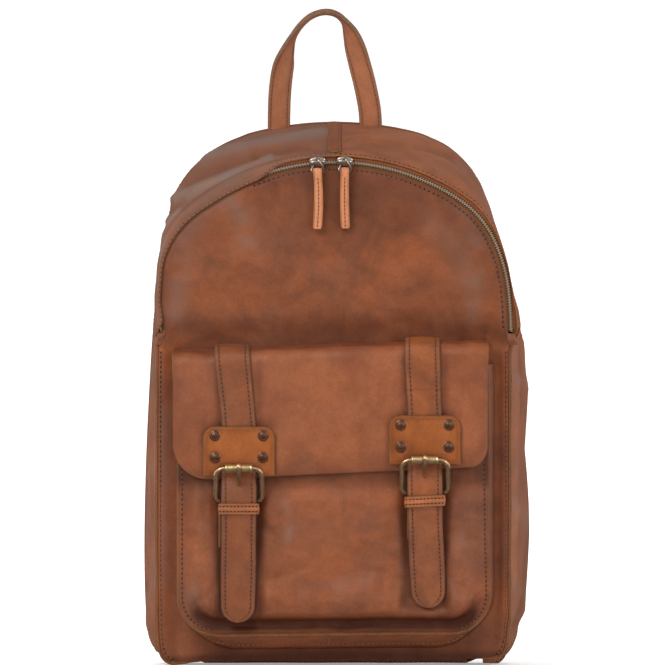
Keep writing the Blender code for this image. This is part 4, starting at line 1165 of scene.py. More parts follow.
# ------------------------------------------------------------------ zip
def zip_half(tag, out, body):
    """Facing, bead and teeth on one side of the zip line; out is 1 outside it, -1 inside."""
    stations = np.concatenate([np.linspace(9.12, 20, 420), np.linspace(-20, -9.12, 420)[1:]])
    line, normals = around(FRONT, stations)
    distances = lengths(line)
    places = np.linspace(0, distances[-1], int(distances[-1] / 1.6))

    def at(place):
        point, normal = [at_length(v, place, distances) for v in (line, normals)]
        return (grid(point[..., 0], 0.0, point[..., 1]),
                grid(normal[..., 0], 0.0, normal[..., 1]))

    middle, outward = at(places)
    # Sections hold the reach from the zip line and y.
    reach = 6.4 if out > 0 else 6.0
    facing_section = [(0.5, -50.5), (1.6, -50.7), (2.6, -50.35), (reach, -50.1), (reach, -49.2),
                      (0.5, -49.4)]
    bead_section = [(-0.15, -50.75), (0.9, -51.0), (1.7, -50.95), (2.2, -50.3), (-0.15, -50.3)]
    rings(f"zip_{tag}_tape", sweep(middle, outward * out, (0, 1, 0), facing_section), "under",
          body, replaces=(f"zip_chain_{tag}",))
    rings(f"zip_{tag}_bead", sweep(middle, outward * out, (0, 1, 0), bead_section), "tape", body)

    pitch = 2.0
    shift = 0.25 if out > 0 else 0.75
    # Reach, reach on the front face, and half width of a tooth.
    tooth = ((-0.4, -0.25, 0.42), (-0.15, -0.15, 0.62), (0.3, 0.3, 0.58), (0.95, 0.95, 0.5),
             (1.35, 1.2, 0.42))
    levels = ((-52.3, 0.62), (-51.85, 1.0), (-50.4, 1.0))  # y and width share
    loop = [0, 2, 4, 6, 8, 9, 7, 5, 3, 1]
    vertices, faces = [], []
    for i in range(int(distances[-1] / pitch)):
        centre, normal = at((i + shift) * pitch)
        normal = unit(normal)
        along = np.array([normal[2], 0, -normal[0]])
        base = len(vertices)
        for y, share in levels:
            for r, front_r, half in tooth:
                place = centre + normal * (front_r if share < 1 else r) * out + (0, y, 0)
                for sign in (-1, 1):
                    vertices.append(place + along * (sign * half * 0.74 * share + 0.33 * r * out))
        for level in (base, base + 10):
            for a, b in zip(loop, loop[1:] + loop[:1]):
                faces.append((level + a, level + b, level + 10 + b, level + 10 + a))
        for level in (base, base + 20):
            for k in range(level, level + 8, 2):
                faces.append((k, k + 1, k + 3, k + 2))
    build(f"zip_{tag}_teeth", vertices, faces, "teeth", body, sharp=35)


def zip_end(tag, side):
    """A small leather piece over one end of the zip."""
    end, _ = outline(FRONT, np.array([8.95]))
    half = 3.5
    across = np.linspace(-half, half, 11)
    up = np.linspace(-3.0, 7.4 if side < 0 else 5.1, 17)[:, None]
    soft = 0.8 * (1 - (np.abs(across) / half) ** 4) * (1 - (np.abs(up - 1.0) / 4.6) ** 4)
    points = grid(
        side * (end[0, 0] + 0.5) + side * across * (1 - 0.02 * up) - 0.10 * up * side,
        -(52.0 + soft + 0.4 * np.sin(up * 0.9 + side)),
        end[0, 1] - 1.0 + up)
    # Darkened as painted shade at the zip's end.
    piece, _ = sheet("zip_end_" + tag, points, 1.3, "gusset", dye_and_shade=0.42, rim_raw=0.1)
    bend_between(piece, FOLD_BEND)


# ------------------------------------------------------------------ pocket
POCKET_HALF, POCKET_LOW, POCKET_TOP, POCKET_R = 118.5, 17.0, 224.0, 34.0
# Each buckled strap: its middle x and the z its parts are placed from, then its own fit.
STRAPS = {
    "left": SimpleNamespace(
        x=-72.0, z=140.56, upper_lean=5.2, plate_low=1.4, plate_high=37.6, rivet_rise=0.6,
        tongue_end=-108.2, tongue_lean=-0.8, keeper_up=-23.2, keeper_tilt=0.0, tab_shift=-2.2),
    "right": SimpleNamespace(
        x=66.5, z=146.7925, upper_lean=1.6, plate_low=3.8, plate_high=39.6, rivet_rise=2.3,
        tongue_end=-103.4, tongue_lean=2.8, keeper_up=-23.7, keeper_tilt=0.05, tab_shift=0.0),
}


def inside_u(x, z, half, low, radius):
    """Distance inside a round-cornered U."""
    corner_x, corner_z = half - radius, low + radius
    wide = np.abs(x)
    in_corner = (wide > corner_x) & (z < corner_z)
    from_corner = radius - np.hypot(wide - corner_x, z - corner_z)
    straight = np.minimum(half - wide, np.where(z < corner_z, z - low, 1e3))
    return np.where(in_corner, from_corner, straight)


def corner_rise(x, half, radius):
    """How far a round-cornered bottom edge has risen at x."""
    past = np.clip(np.abs(x) - (half - radius), 0, radius)
    return radius - np.sqrt(np.maximum(radius * radius - past * past, 0))


def pocket_line(top, inset, count):
    """Line in (x, z) down the left of the pocket, under it and up the right."""
    half, radius = POCKET_HALF - inset, POCKET_R - inset
    centre_x, centre_z = half - radius, POCKET_LOW + inset + radius
    return even(np.concatenate([
        [(-half, top)], bend(-centre_x, centre_z, radius, 180, 270, 40),
        bend(centre_x, centre_z, radius, 270, 360, 40), [(half, top)],
    ]), count)


def pocket_face():
    x = POCKET_HALF * np.sin(np.linspace(-1, 1, 201) * np.pi / 2) * 0.9999
    low = POCKET_LOW + corner_rise(x, POCKET_HALF, POCKET_R)
    z = low + (POCKET_TOP - low) * (np.linspace(0, 1, 150) ** 1.35)[:, None]
    x = np.broadcast_to(x, z.shape)
    wide = np.abs(x)
    edge = inside_u(x, z, POCKET_HALF, POCKET_LOW, POCKET_R)
    flat = grid(x, 0.0, z)
    # Depth from the edge inwards, at the sides and along the bottom.
    side_y = np.interp(edge, [0, 1.0, 4.5, 9, 16, 30], [83.2, 84.4, 85.0, 86.4, 87.9, 88.3])
    wavy = 0.9 * waves(flat, 54, 34) + 0.3 * waves(flat, 55, 13)
    bottom_y = np.interp(edge + wavy * smooth(2, 9, edge),
                         [0, 1.0, 3.0, 8.0, 12.0, 15.5, 19.5, 28],
                         [84.8, 85.6, 83.4, 81.0, 82.0, 87.8, 91.6, 92.8])
    bottom = smooth(66, 36, z) * smooth(118, 96, wide + 0.25 * (z - 30))
    # The straps press the face flat; it puffs between and beside them, below the flap.
    press = np.max([np.exp(-((np.abs(x - s.x) / 17.5) ** 6)) * smooth(s.z - 116, s.z - 106, z)
                    for s in STRAPS.values()], axis=0)
    below = smooth(140, 122, z)
    pillow = 3.2 * smooth(10, 34, edge) * below
    for middle, width, height in ((-2, 26, 1.6), (-103, 9, 1.6), (98, 10, 1.2)):
        pillow += height * bump(x - middle, width) * below * smooth(8, 20, edge)
    wrinkles = 0.7 * waves(flat, 51, 60) + 0.3 * waves(flat, 52, 22) + ridges(x, z, [
        ([(-58, 61), (-44, 64.5), (-24, 70)], -0.8, 3.0),
        ([(-57, 70), (-40, 76), (-22, 80)], 0.5, 5.0),
        ([(-58, 110), (-46, 96), (-42, 80)], -0.9, 4.0),
        ([(51, 60), (36, 68), (18, 70)], -1.1, 3.4),
        ([(52, 100), (40, 88), (30, 70)], -0.7, 4.0),
        ([(-88, 60), (-98, 48), (-108, 44)], -1.0, 3.0),
        ([(84, 64), (98, 52), (108, 48)], -0.9, 3.0),
        ([(-20, 44), (10, 40), (40, 46)], 0.8, 4.0),
        ([(-103, 130), (-104, 90), (-100, 60)], 1.2, 6.0),
        ([(-90, 128), (-91, 80)], -1.2, 3.0),
    ])
    wrinkles *= smooth(5, 14, edge) * (0.35 + 0.65 * below)
    y = side_y * (1 - bottom) + bottom_y * bottom + (pillow + wrinkles) * (1 - press)
    y = np.where(press > 0.02, np.minimum(y, 88.2 + (y - 88.2) * (1 - press)), y)
    y = y * below + np.minimum(y, 88.9) * (1 - below)
    # Painted shade in the hollow above the bottom seam, under the flap, and under and beside the
    # straps; painted light on the raised fold at the left.
    dye_and_shade = 0.10 + 0.30 * np.exp(-edge / 14) + 0.45 * bump(edge - 10.5, 4.5) * bottom
    dye_and_shade += 0.35 * smooth(0.15, 0.9, press) * below + 0.75 * bump(edge - 9.0, 6.0) * bottom
    dye_and_shade += 0.55 * smooth(128, 140, z)
    for s in STRAPS.values():
        dye_and_shade += 0.45 * bump(np.abs(x - s.x) - 15.5, 4.0) * smooth(s.z - 116, s.z - 100, z)
    dye_and_shade -= 0.22 * bump(x + 103, 8) * below * smooth(40, 70, z)
    raw = smooth(2.3, 1.2, edge + 0.35 * waves(flat, 57, 9) + 0.25 * waves(flat, 58, 4))
    raw *= (0.35 + 0.65 * bottom) * (0.5 + 0.5 * smooth(-0.6, 0.6, waves(flat, 60, 11)))
    # Painted highlights in streaks where the light catches the face, broken up by noise.
    bloom_and_sheen = smooth(-0.9, 0.7, waves(flat, 59, 24)) * ridges(x, z, [
        ([(-37, 122), (-34, 104), (-36, 92)], 0.60, 3.4),
        ([(92, 96), (96, 72)], 0.40, 5),
        ([(-107, 60), (-106, 44)], 0.35, 5),
        ([(24, 62), (-8, 56)], 0.30, 6),
    ])
    sheet("pocket_face", grid(x, -y, z), 2.2, "body", "shell", dye_and_shade=np.clip(dye_and_shade, 0, 0.95),
          raw=raw, bloom_and_sheen=bloom_and_sheen, lip=0.45, rim_raw=0.55, rim_dye_and_shade=0.3, replaces=("pocket_face",))
    seam = surface_at(pocket_line(150, 4.2, 400), x, -y, z, lift=0.05)
    keep = np.nonzero((np.abs(seam[:, 0]) > 92) | (seam[:, 2] > 40))[0]
    for part in np.split(keep, np.nonzero(np.diff(keep) > 1)[0] + 1):
        sew(("shell", "pocket"), seam[part], FRONTWARD)


def pocket_gusset():
    """Pocket surround: the sides go straight back, the bottom slopes back to the body."""
    x, z = pocket_line(POCKET_TOP, 0.4, 420).T[:, :, None]
    back = np.linspace(0, 1, 22)
    down = smooth(60, 20, z) * smooth(112, 74, np.abs(x))
    corner_x, corner_z = POCKET_HALF - POCKET_R, POCKET_LOW + POCKET_R
    bent = np.arctan2(z - corner_z, np.abs(x) - corner_x)
    angle = np.where(z < corner_z, np.where(np.abs(x) > corner_x, bent, -math.pi / 2), 0.0)
    flare = (2.4 + 8.4 * down) * back**0.72
    sag = -1.4 * np.sin(math.pi * back) * (1 - 0.7 * down)
    points = grid(
        x + np.copysign(np.cos(angle), x) * (flare * (0.35 + 0.65 * down) + sag),
        -82.6 + 29.6 * back,
        np.maximum(z + np.sin(angle) * (flare + sag), 6.0))
    dye_and_shade = 0.30 + 0.35 * np.exp(-back / 0.05) + 0.5 * smooth(0.75, 1.0, back)
    _, facing = sheet("pocket_gusset", points, 2.0, "body", "shell", dye_and_shade=np.clip(dye_and_shade, 0, 0.9),
                      raw=smooth(0.05, 0.01, back), out="away", replaces=("pocket_gusset",))
    normals = facing[100:-100, 13]
    sew(("shell", "pocket_gusset"), points[100:-100, 13] + normals * 0.05, normals, light=True)
    sew(("shell", "pocket_joint"), points[206, 1:14], facing[206, 1:14], light=True)


# ------------------------------------------------------------------ flap
FLAP_HALF, FLAP_EDGE, FLAP_SLOPE = 119.5, 143.8, 0.045
FLAP_OUT = 92.3  # how far the flap's face stands in front of y = 0
FLAP_BEND = ("shell", "flap", (0, -0.0840, 0.2385), (0, -0.0915, 0.2260))
# Its fold in (y, z), from the front panel to the face.
FLAP_FOLD = [(-52.8, 240.6), (-60, 240.6), (-70, 240.2), (-79, 239.3), (-85.5, 238.0),
             (-89.6, 235.8), (-91.8, 232.2), (-FLAP_OUT, 227.5), (-FLAP_OUT, 220)]


def slump(x, z):
    """The fold of the flap hangs lower at its left end than at its right."""
    drop = np.interp(x, [-121, -72, 0, 66, 121], [-5.4, -3.8, -0.8, 1.4, 2.4])
    return drop * smooth(170, 232, z)


def pocket_flap():
    x = FLAP_HALF * np.sin(np.linspace(-1, 1, 221) * np.pi / 2) * 0.9999
    radius = np.where(x > 0, 15.0, 26.0)
    rise = corner_rise(x, FLAP_HALF, radius)
    low = FLAP_EDGE + FLAP_SLOPE * x * (1 - rise / 100.0) + rise
    fold = resample(catmull(FLAP_FOLD, 12), 1.4)
    rows_down = 62
    down = 1 - (1 - np.arange(1, rows_down + 1) / rows_down) ** 1.15
    fold_z = np.broadcast_to(fold[:, 1:2], (len(fold), len(x)))
    z = np.concatenate([fold_z, 220 + (low - 220) * down[:, None]])
    y = np.concatenate([fold[:, 0], np.full(rows_down, -FLAP_OUT)])[:, None]
    points = grid(x, y, z)
    x, y, z = np.moveaxis(points, -1, 0)
    edge = np.where(z < 222, inside_u(x, z - FLAP_SLOPE * x, FLAP_HALF, FLAP_EDGE, radius),
                    FLAP_HALF - np.abs(x))
    under = np.max([np.exp(-((np.abs(x - s.x) / 19.0) ** 6)) for s in STRAPS.values()], axis=0)
    # Soft swelling, held flat under the straps.
    soft = (0.9 * waves(points, 61, 75) + 0.3 * waves(points, 62, 26)) * smooth(2, 14, edge)
    soft += 2.2 * bump(x + 3, 34) * smooth(150, 175, z) * smooth(232, 205, z)
    soft += 0.8 * bump(np.abs(x) - 106, 8)
    soft -= 1.2 * np.exp(-edge / 2.5) * smooth(230, 215, z)
    push = soft * (1 - under) - 0.15 * under
    push = np.where(under > 0.5, np.minimum(push, 0.0), push)
    shaped = points + grid_normals(points) * push[..., None]
    shaped[..., 2] += slump(x, z)
    shaped[..., 0] -= 6.2 * smooth(84, 121, x) + 1.6 * smooth(-84, -121, x)
    # Darker towards the edges; painted shade on top of the fold and beside the straps, and a dark
    # band at the plates' upper ends.
    dye_and_shade = 0.05 + 0.30 * np.exp(-edge / 8) + 0.45 * smooth(-89, -80, y) * (z > 230)
    for s in STRAPS.values():
        beside = np.abs(x - s.x)
        dye_and_shade += 0.40 * bump(beside - 15.0, 3.2) * smooth(236, 226, z)
        dye_and_shade += 0.30 * np.exp(-((beside / 30.0) ** 8)) * bump(z - (s.z + 40), 5.0)
    flap, _ = sheet("pocket_flap", shaped, 2.3, "flap", dye_and_shade=np.clip(dye_and_shade, 0, 0.9),
                    raw=smooth(0.9, 0.3, edge) * 0.25, rim_raw=0.3, rim_dye_and_shade=0.35,
                    replaces=("flap_top", "pocket_flap"))
    bend_between(flap, FLAP_BEND)


# ------------------------------------------------------------------ buckled straps
# Heel bar and roller of the buckle, up and out from the strap's own place on the flap.
HEEL_UP, HEEL_OUT, ROLLER_UP, ROLLER_OUT = -17.6, 1.6, 6.9, 9.6
RIVET_UPS, RIVET_ACROSS = (30.8, 14.6), 17.7
STRAP_HALF = 13.0


def upper_strap(side, strap):
    """From the front panel over the flap's fold and down under the plate."""
    path = [(-54.5, 242.2), (-66, 242.1), (-78, 241.2), (-86, 239.4), (-91.4, 236.4),
            (-93.6, 231.5), (-93.9, 224), (-93.85, 205), (-93.8, strap.z + 60),
            (-93.8, strap.z + 40), (-93.8, strap.z + 27)]
    line = resample(catmull([(strap.x, y, z) for y, z in path], 10), 1.6)
    line[:, 2] += slump(strap.x, line[:, 2])
    z = line[:, 2]
    line[:, 0] += 0.35 * np.sin(z * 0.05) - strap.upper_lean * smooth(strap.z + 30, 246, z)
    piece, top, length = ribbon(f"upper_strap_{side}", line, (1, 0, 0),
                                STRAP_HALF + 0.25 * np.sin(z * 0.09), 2.4, "strap", None,
                                dye_and_shade=0.15, crown=0.35)
    bend_between(piece, FLAP_BEND)
    sew_both_edges((FLAP_BEND, "upper_" + side), top, length, offset=9.4, start=26, end=1.5)


def rivet_plate(side, strap, place):
    """A plate moulded over the upper strap, held by four rivets."""
    low, high = strap.plate_low, strap.plate_high
    radius, middle = 8.5, 18.0
    shape = np.concatenate([
        [(-26.3, low), (-14.4, low + 0.3), (-14.2, 7.4), (-13.0, 8.6), (13.0, 8.6), (14.2, 7.4),
         (14.4, low + 0.3), (26.3, low)],
        bend(middle, high - radius, radius, 0, 90, 9),
        bend(-middle, high - radius, radius, 90, 180, 9),
    ])

    def height(a, b):
        strap_bulge = 2.1 * np.exp(-((np.abs(a) / 14.6) ** 6)) * smooth(0, 7, b)
        dents = sum(0.6 * np.exp(-((np.abs(a) - RIVET_ACROSS) ** 2 + (b - up) ** 2) / 22)
                    for up in RIVET_UPS)
        return 2.35 + strap_bulge + 0.25 * np.sin(a * 0.21 + b * 0.17) - dents

    patch(f"rivet_plate_{side}", shape, place, height, 2.2, "plate", "flap", step=1.5, dye_and_shade=0.05)
    head = 2.9
    profile = [
        (0.3, -3.9), (2.9, -3.9), (2.9, -3.15), (1.3, -3.15), (1.3, head), (4.0, head + 0.1),
        (4.3, head + 0.5), (4.2, head + 1.0), (3.75, head + 1.5), (3.2, head + 1.66),
        (2.85, head + 1.5), (2.5, head + 1.58), (1.8, head + 1.9), (0.9, head + 2.06),
        (0.2, head + 2.1),
    ]
    spots = [(sign * RIVET_ACROSS, up) for up in RIVET_UPS for sign in (-1, 1)]
    for number, (across, up) in enumerate(spots, 1):
        revolve(f"rivet_{side}_{number}", place(across, up + strap.rivet_rise, 0.0), FRONTWARD,
                profile, "iron", "flap", sides=32)


def tongue_strap(side, strap, place):
    """Through the buckle and down the front to a round tip, with one prong hole."""
    # Up and out.
    path = catmull([
        (36.0, 1.5), (27.0, 1.5), (14, 1.5), (8, 1.62), (0, 3.1), (-8, 5.3), (-14, 6.35),
        (-19, 6.35), (-25, 5.5), (-36, 4.0), (-48, 2.2), (-58, 0.4), (-68, -1.2), (-82, -2.0),
        (-96, -2.2), (strap.tongue_end, -2.2),
    ], 8)[8:]  # the first span only sets the curve's start
    fine = resample(path, 0.4)
    distances = np.linspace(0, lengths(path)[-1], len(fine))
    tip = STRAP_HALF
    bend_start = distances[-1] - tip
    # Stations crowd towards the round tip.
    stations = np.concatenate([np.arange(0, bend_start, 1.2),
                               bend_start + tip * np.sin(np.radians(np.linspace(0, 86.5, 26)))])
    path = at_length(fine, stations, distances)
    distances = lengths(path)
    left = distances[-1] + 0.02 - distances
    half = np.where(left < tip, np.sqrt(np.maximum(tip**2 - (tip - left) ** 2, 0.02)), tip)
    half = half * (1 + 0.012 * np.sin(distances * 0.11 + strap.x))
    line = place(smooth(-20, -109, path[:, 0]) * strap.tongue_lean, path[:, 0], path[:, 1])
    _, top, length = ribbon(f"tongue_strap_{side}", line, (1, 0, 0), half, 2.4, "strap", "flap",
                            dye_and_shade=0.13, crown=0.45)
    down = np.linspace(33, length - tip, 150)
    radius = tip - 3.4
    angle = np.linspace(0, math.pi, 60)[1:-1]
    along = np.concatenate([down, length - tip + radius * np.sin(angle), down[::-1]])
    offset = np.concatenate([np.full(150, -radius), -radius * np.cos(angle),
                             np.full(150, radius)])
    sew(("flap", "tongue_" + side), *top(offset, along), pitch=3.2)
    # An oval hole, dark as painted shade: size and height of each ring.
    centre = distances[int(np.argmin(np.abs(path[:, 0] + 5.6)))]
    angle = np.arange(28) / 28 * 2 * math.pi
    loops = [top(1.7 * size * np.cos(angle), centre + 3.0 * size * np.sin(angle), height)[0]
             for size, height in ((0.05, 0.60), (1.0, 0.62), (1.12, 0.45), (1.0, -0.9))]
    rings(f"prong_hole_{side}", loops, "hole", "flap")


def keeper(side, strap, place):
    """The leather loop round the tongue strap."""
    half, low, high, radius = 14.35, -3.05, 8.9, 1.6
    right, bottom, top = half - radius, low + radius, high - radius
    loop = corner_loop([(right, top, 0, radius), (-right, top, 90, radius),
                        (-right, bottom, 180, radius), (right, bottom, 270, radius)], 7, 1.1)
    line = place(loop[:, 0], strap.keeper_up + loop[:, 0] * strap.keeper_tilt, loop[:, 1])
    along = unit(np.roll(line, -1, 0) - np.roll(line, 1, 0))
    upward = np.array([0, 0, 1.0])
    facing = unit(np.cross(upward, along))
    ribbon(f"keeper_{side}", line, upward, 4.1, 1.6, "keeper", "flap", dye_and_shade=0.05, groove=2.3,
           facing=facing, closed=True)
    front = np.nonzero(loop[:, 1] > high - 0.4)[0]
    for offset in (-1.75, 1.75):
        seam = line[front] + upward * offset + facing[front] * 0.95
        order = np.argsort(seam[:, 0])
        sew(("flap", "keeper_" + side), seam[order], facing[front][order], pitch=2.5, hole=0.62,
            width=0.28)


def buckle_tab(side, strap, place):
    """Round the heel bar, hanging behind the strap."""
    wrap = bend(HEEL_OUT, HEEL_UP, 2.62, -100, 180, 22)[:, ::-1]
    path = resample(np.vstack([wrap, [(-24, -1.0), (-27, -1.1), (-40, -1.1), (-52, -1.1)]]), 1.0)
    line = place(strap.tab_shift, path[:, 0], path[:, 1])
    ribbon(f"buckle_tab_{side}", line, (1, 0, 0),
           np.interp(path[:, 0], [-27, -20], [13.2, 9.0]), 1.25, "dark", "flap", groove=2.2,
           crown=0.05)


def snap(side, place):
    centre = place(0, -38, 0)
    stud = [(0.3, -2.85), (4.5, -2.85), (6.9, -2.7), (7.0, -2.3), (6.6, -2.1), (0.3, -2.1)]
    socket = [(0.3, -3.95), (8.0, -3.95), (8.0, -3.6), (6.8, -3.2), (4.8, -3.2), (4.6, -3.35),
              (0.3, -3.35)]
    revolve(f"snap_stud_{side}", centre, FRONTWARD, stud, "steel", "flap")
    revolve(f"snap_socket_{side}", centre, FRONTWARD, socket, "steel", "shell")


def buckle(side, place):
    """A cast frame thicker at its sides, a turned roller and a prong."""
    rise, reach = ROLLER_UP - HEEL_UP, ROLLER_OUT - HEEL_OUT
    length = math.hypot(rise, reach)
    half, top_r, heel_r = 17.2, 6.4, 4.6
    loop = corner_loop([
        (half - heel_r, heel_r, -90, heel_r), (half - top_r, length - top_r, 0, top_r),
        (-half + top_r, length - top_r, 90, top_r), (-half + heel_r, heel_r, 180, heel_r),
    ], 12, 0.9)
    across, along = loop.T
    path = place(across, HEEL_UP + rise / length * along, HEEL_OUT + reach / length * along)
    fat = 1.62 + 0.28 * smooth(11, 16.5, np.abs(across)) - 0.05 * (along > length - 1)
    name = f"buckle_frame_{side}"
    rings(name, tube_rings(path, fat, 18, True), "brass", "buckle_" + side, closed=True,
          replaces=(name,))

    # Half of the hollow roller's profile, from its end to its middle.
    roller = [(1.98, -10.0), (2.7, -10.0), (3.1, -9.6), (3.1, -8.9), (2.95, -8.6), (3.02, -8.0)]
    revolve(f"roller_{side}", place(0, ROLLER_UP, ROLLER_OUT), (1, 0, 0),
            roller + [(r, -h) for r, h in reversed(roller)], "roller", "roller_" + side,
            sides=36, closed=True)

    # An eye round the heel bar, a tapering bar and a bent tip over the roller.
    tip_up, tip_out = ROLLER_UP + 1.6, ROLLER_OUT + 3.05 + 2.35
    aim = math.degrees(math.atan2(tip_out - HEEL_OUT, tip_up - HEEL_UP))
    eye = bend(HEEL_UP, HEEL_OUT, 2.65, aim + 38, aim + 338, 22)[::-1]
    bar = [(tip_up + 1.6, tip_out - 0.9), (tip_up + 0.2, tip_out + 0.6), (5.4, 14.8),
           (1.2, 11.6), (-3.6, 7.9), (-7.4, 4.9), (HEEL_UP + 6.2, HEEL_OUT + 1.2)]
    path = resample(np.vstack([catmull(bar + [eye[0]], 8), eye[1:]]), 0.5)
    radii = np.interp(np.linspace(0, 1, len(path)), [0, 0.02, 0.06, 0.2, 0.42, 0.58, 1.0],
                      [0.9, 1.6, 2.2, 2.3, 1.35, 0.8, 0.62])
    name = f"prong_{side}"
    rings(name, tube_rings(place(0, path[:, 0], path[:, 1]), radii, 14), "brass", name,
          replaces=(name,))


def buckled_strap(side, strap):
    def place(across, up, out):
        return grid(strap.x + across, -(FLAP_OUT + out), strap.z + up)

    upper_strap(side, strap)
    rivet_plate(side, strap, place)
    tongue_strap(side, strap, place)
    keeper(side, strap, place)
    buckle_tab(side, strap, place)
    snap(side, place)
    buckle(side, place)


# ------------------------------------------------------------------ zip sliders and pulls
RING_Y = -58.1


def zip_slider(side, x):
    """A waisted plate with a bridge over it. Returns the z of the zip line at x."""
    angle = math.asin(x / ARC_R)
    sine, cosine = math.sin(angle), math.cos(angle)

    def turn(along, y, out):
        radius = ARC_R + out
        return grid(radius * sine + along * cosine, y, ARC_Z + radius * cosine - along * sine)

    waist = np.array([(-6.2, 1.7), (-5.7, 2.6), (-4.2, 3.4), (-2.0, 3.9), (0, 4.1), (2.0, 3.9),
                      (4.2, 3.4), (5.7, 2.6), (6.2, 1.7)])  # along, half width
    along, out = np.vstack([waist, waist[::-1] * [1, -1]]).T
    levels = ((51.7, 0.96), (52.0, 1.0), (53.0, 1.0), (53.6, 0.92), (53.9, 0.75))
    loops = [turn(along * size, -depth, 0.6 + out * size) for depth, size in levels]
    name = f"zip_slider_{side}"
    rings(name, loops, "slider", "slider_" + side, replaces=(name,), sharp=40)
    arch = catmull([(-5.3, 53.3), (-5.4, 55.5), (-5.0, 57.9), (-3.0, 58.7), (0, 58.75),
                    (3.0, 58.7), (5.0, 57.9), (5.4, 55.5), (5.3, 53.3)], 6)
    line = turn(arch[:, 0], -arch[:, 1], 0.4)
    upward = turn(0, 0, 1) - turn(0, 0, 0)
    facing = unit(np.cross(unit(np.gradient(line, axis=0)), upward))
    around_bar = np.arange(14) / 14 * 2 * math.pi
    section = np.stack([1.35 * np.cos(around_bar), 0.62 * np.sin(around_bar)], 1)
    rings(f"slider_bridge_{side}",
          sweep(line, np.broadcast_to(upward, line.shape), facing, section),
          "slider", "slider_" + side)
    return ARC_Z + ARC_R * cosine


def pull_ring(side, x, z):
    loop = catmull([
        (-3.6, 0.0, -6.6), (0, 0.0, -6.7), (3.6, 0.0, -6.6), (4.4, -0.3, -5.2),
        (3.6, -1.5, -2.6), (1.9, -2.6, -0.2), (0.9, -2.1, 1.9), (0, 0, 2.9), (-0.9, 2.1, 1.9),
        (-1.9, 2.6, -0.2), (-3.6, 1.5, -2.6), (-4.4, 0.3, -5.2),
    ], 7, closed=True)
    name = f"pull_ring_{side}"
    rings(name, tube_rings(loop + [x, RING_Y, z], 0.82, 12, True), "slider", "ring_" + side,
          closed=True, replaces=(name,))


def leather_pull(side, x, z, bow, drift):
    """A folded strip: up the back, over the ring at z and down the front."""
    back = np.array([(-0.78, -43.0), (-0.8, -25), (-0.85, -12), (-1.1, -6), (-1.75, -2.4)])
    path = resample(np.vstack([back, bend(0, 0, 2.1, 190, -10, 16), back[::-1] * [-1, 1]]), 0.8)
    forward, up = path.T
    down = np.clip(-up / 43, 0, 1)
    line = grid(x + bow * np.sin(math.pi * down) + drift * down, RING_Y - forward, z + up)
    half = np.where(up < -41.5, 3.1 - 0.5 * ((-41.5 - up) / 1.5) ** 2,
                    3.25 + 0.25 * smooth(-6, -26, up))
    facing = unit(np.cross(unit(np.gradient(line, axis=0)), [1.0, 0, 0]))
    ribbon(f"leather_pull_{side}", line, (1, 0, 0), half, 1.45, "pull", "pull_" + side,
           groove=1.0, crown=0.12, dye_and_shade=0.02, facing=facing)
    front = (line[:, 1] < RING_Y) & (line[:, 2] < z - 5) & (line[:, 2] > z - 41)
    seam = line[front] + facing[front] * 0.95
    order = np.argsort(-seam[:, 2])
    sew(("pull_" + side, "pull_" + side), seam[order], facing[front][order], pitch=2.7,
        hole=0.55, width=0.30, light=True)


# ------------------------------------------------------------------ handle
HANDLE_X, HANDLE_Y = -8.0, 47.0
HANDLE_BEND = ("shell", "handle", (HANDLE_X * MM, HANDLE_Y * MM, 0.4035),
               (HANDLE_X * MM, HANDLE_Y * MM, 0.4165))
# Across from the handle's middle, z, and twist in degrees.
HANDLE_LINE = [
    (-35.0, 398, 0), (-35.0, 408.8, 0), (-34.8, 418, 2), (-34.4, 428, 5), (-33.4, 439, 11),
    (-31.6, 450, 25), (-28.8, 461, 56), (-24.8, 471.5, 78), (-18.6, 481.0, 88),
    (-10.2, 488.2, 90), (0, 491.2, 90), (9.0, 489.2, 88), (15.2, 483.4, 78), (19.6, 474.5, 52),
    (23.2, 463, 27), (26.6, 450.5, 14), (29.6, 439, 8), (32.0, 428, 4), (33.8, 418, 1),
    (34.6, 408.8, 0), (34.6, 398, 0),
]
# A quarter section with a padded middle and a flat sewn flange: across, height, raw, darkening
# (dark dye and painted shade).
HANDLE_SECTION = [
    (8.6, 0.3, 1.0, 0.1), (8.5, 1.0, 0.9, 0.1), (8.0, 1.45, 0.4, 0.1), (6.9, 1.5, 0, 0.15),
    (6.2, 1.25, 0, 0.5), (5.5, 1.6, 0, 0.2), (4.2, 2.1, 0, 0.05), (2.2, 2.45, 0, 0),
    (0, 2.55, 0, 0),
]


def grab_handle():
    twist_weight = 0.25  # share of a degree of twist in the spacing of the rings
    run = resample(catmull(HANDLE_LINE, 10) * [1, 1, twist_weight], 1.5)
    across, z, twist = (run / [1, 1, twist_weight]).T
    along = unit(grid(np.gradient(across), 0.0, np.gradient(z)))
    flat = grid(along[:, 2], 0.0, -along[:, 0])
    turn = np.radians(twist)[:, None]
    wide = flat * np.cos(turn) + np.array([0, 1.0, 0]) * np.sin(turn)
    thin = np.cross(along, wide)
    line = grid(HANDLE_X + across, HANDLE_Y, z)
    section = mirrored(HANDLE_SECTION)
    piece = rings("grab_handle", sweep(line, wide, thin, section), "handle",
                  attributes={"dye_and_shade": np.tile(section[:, 3], len(line)),
                              "raw": np.tile(section[:, 2], len(line))},
                  replaces=("grab_handle",))
    bend_between(piece, HANDLE_BEND)
    for face in (-1, 1):
        for edge in (-1, 1):
            seam = line + wide * 6.25 * edge + thin * 1.3 * face
            sew((HANDLE_BEND, "handle"), seam[4:-4], thin[4:-4] * face, pitch=3.4, hole=0.5,
                width=0.3)


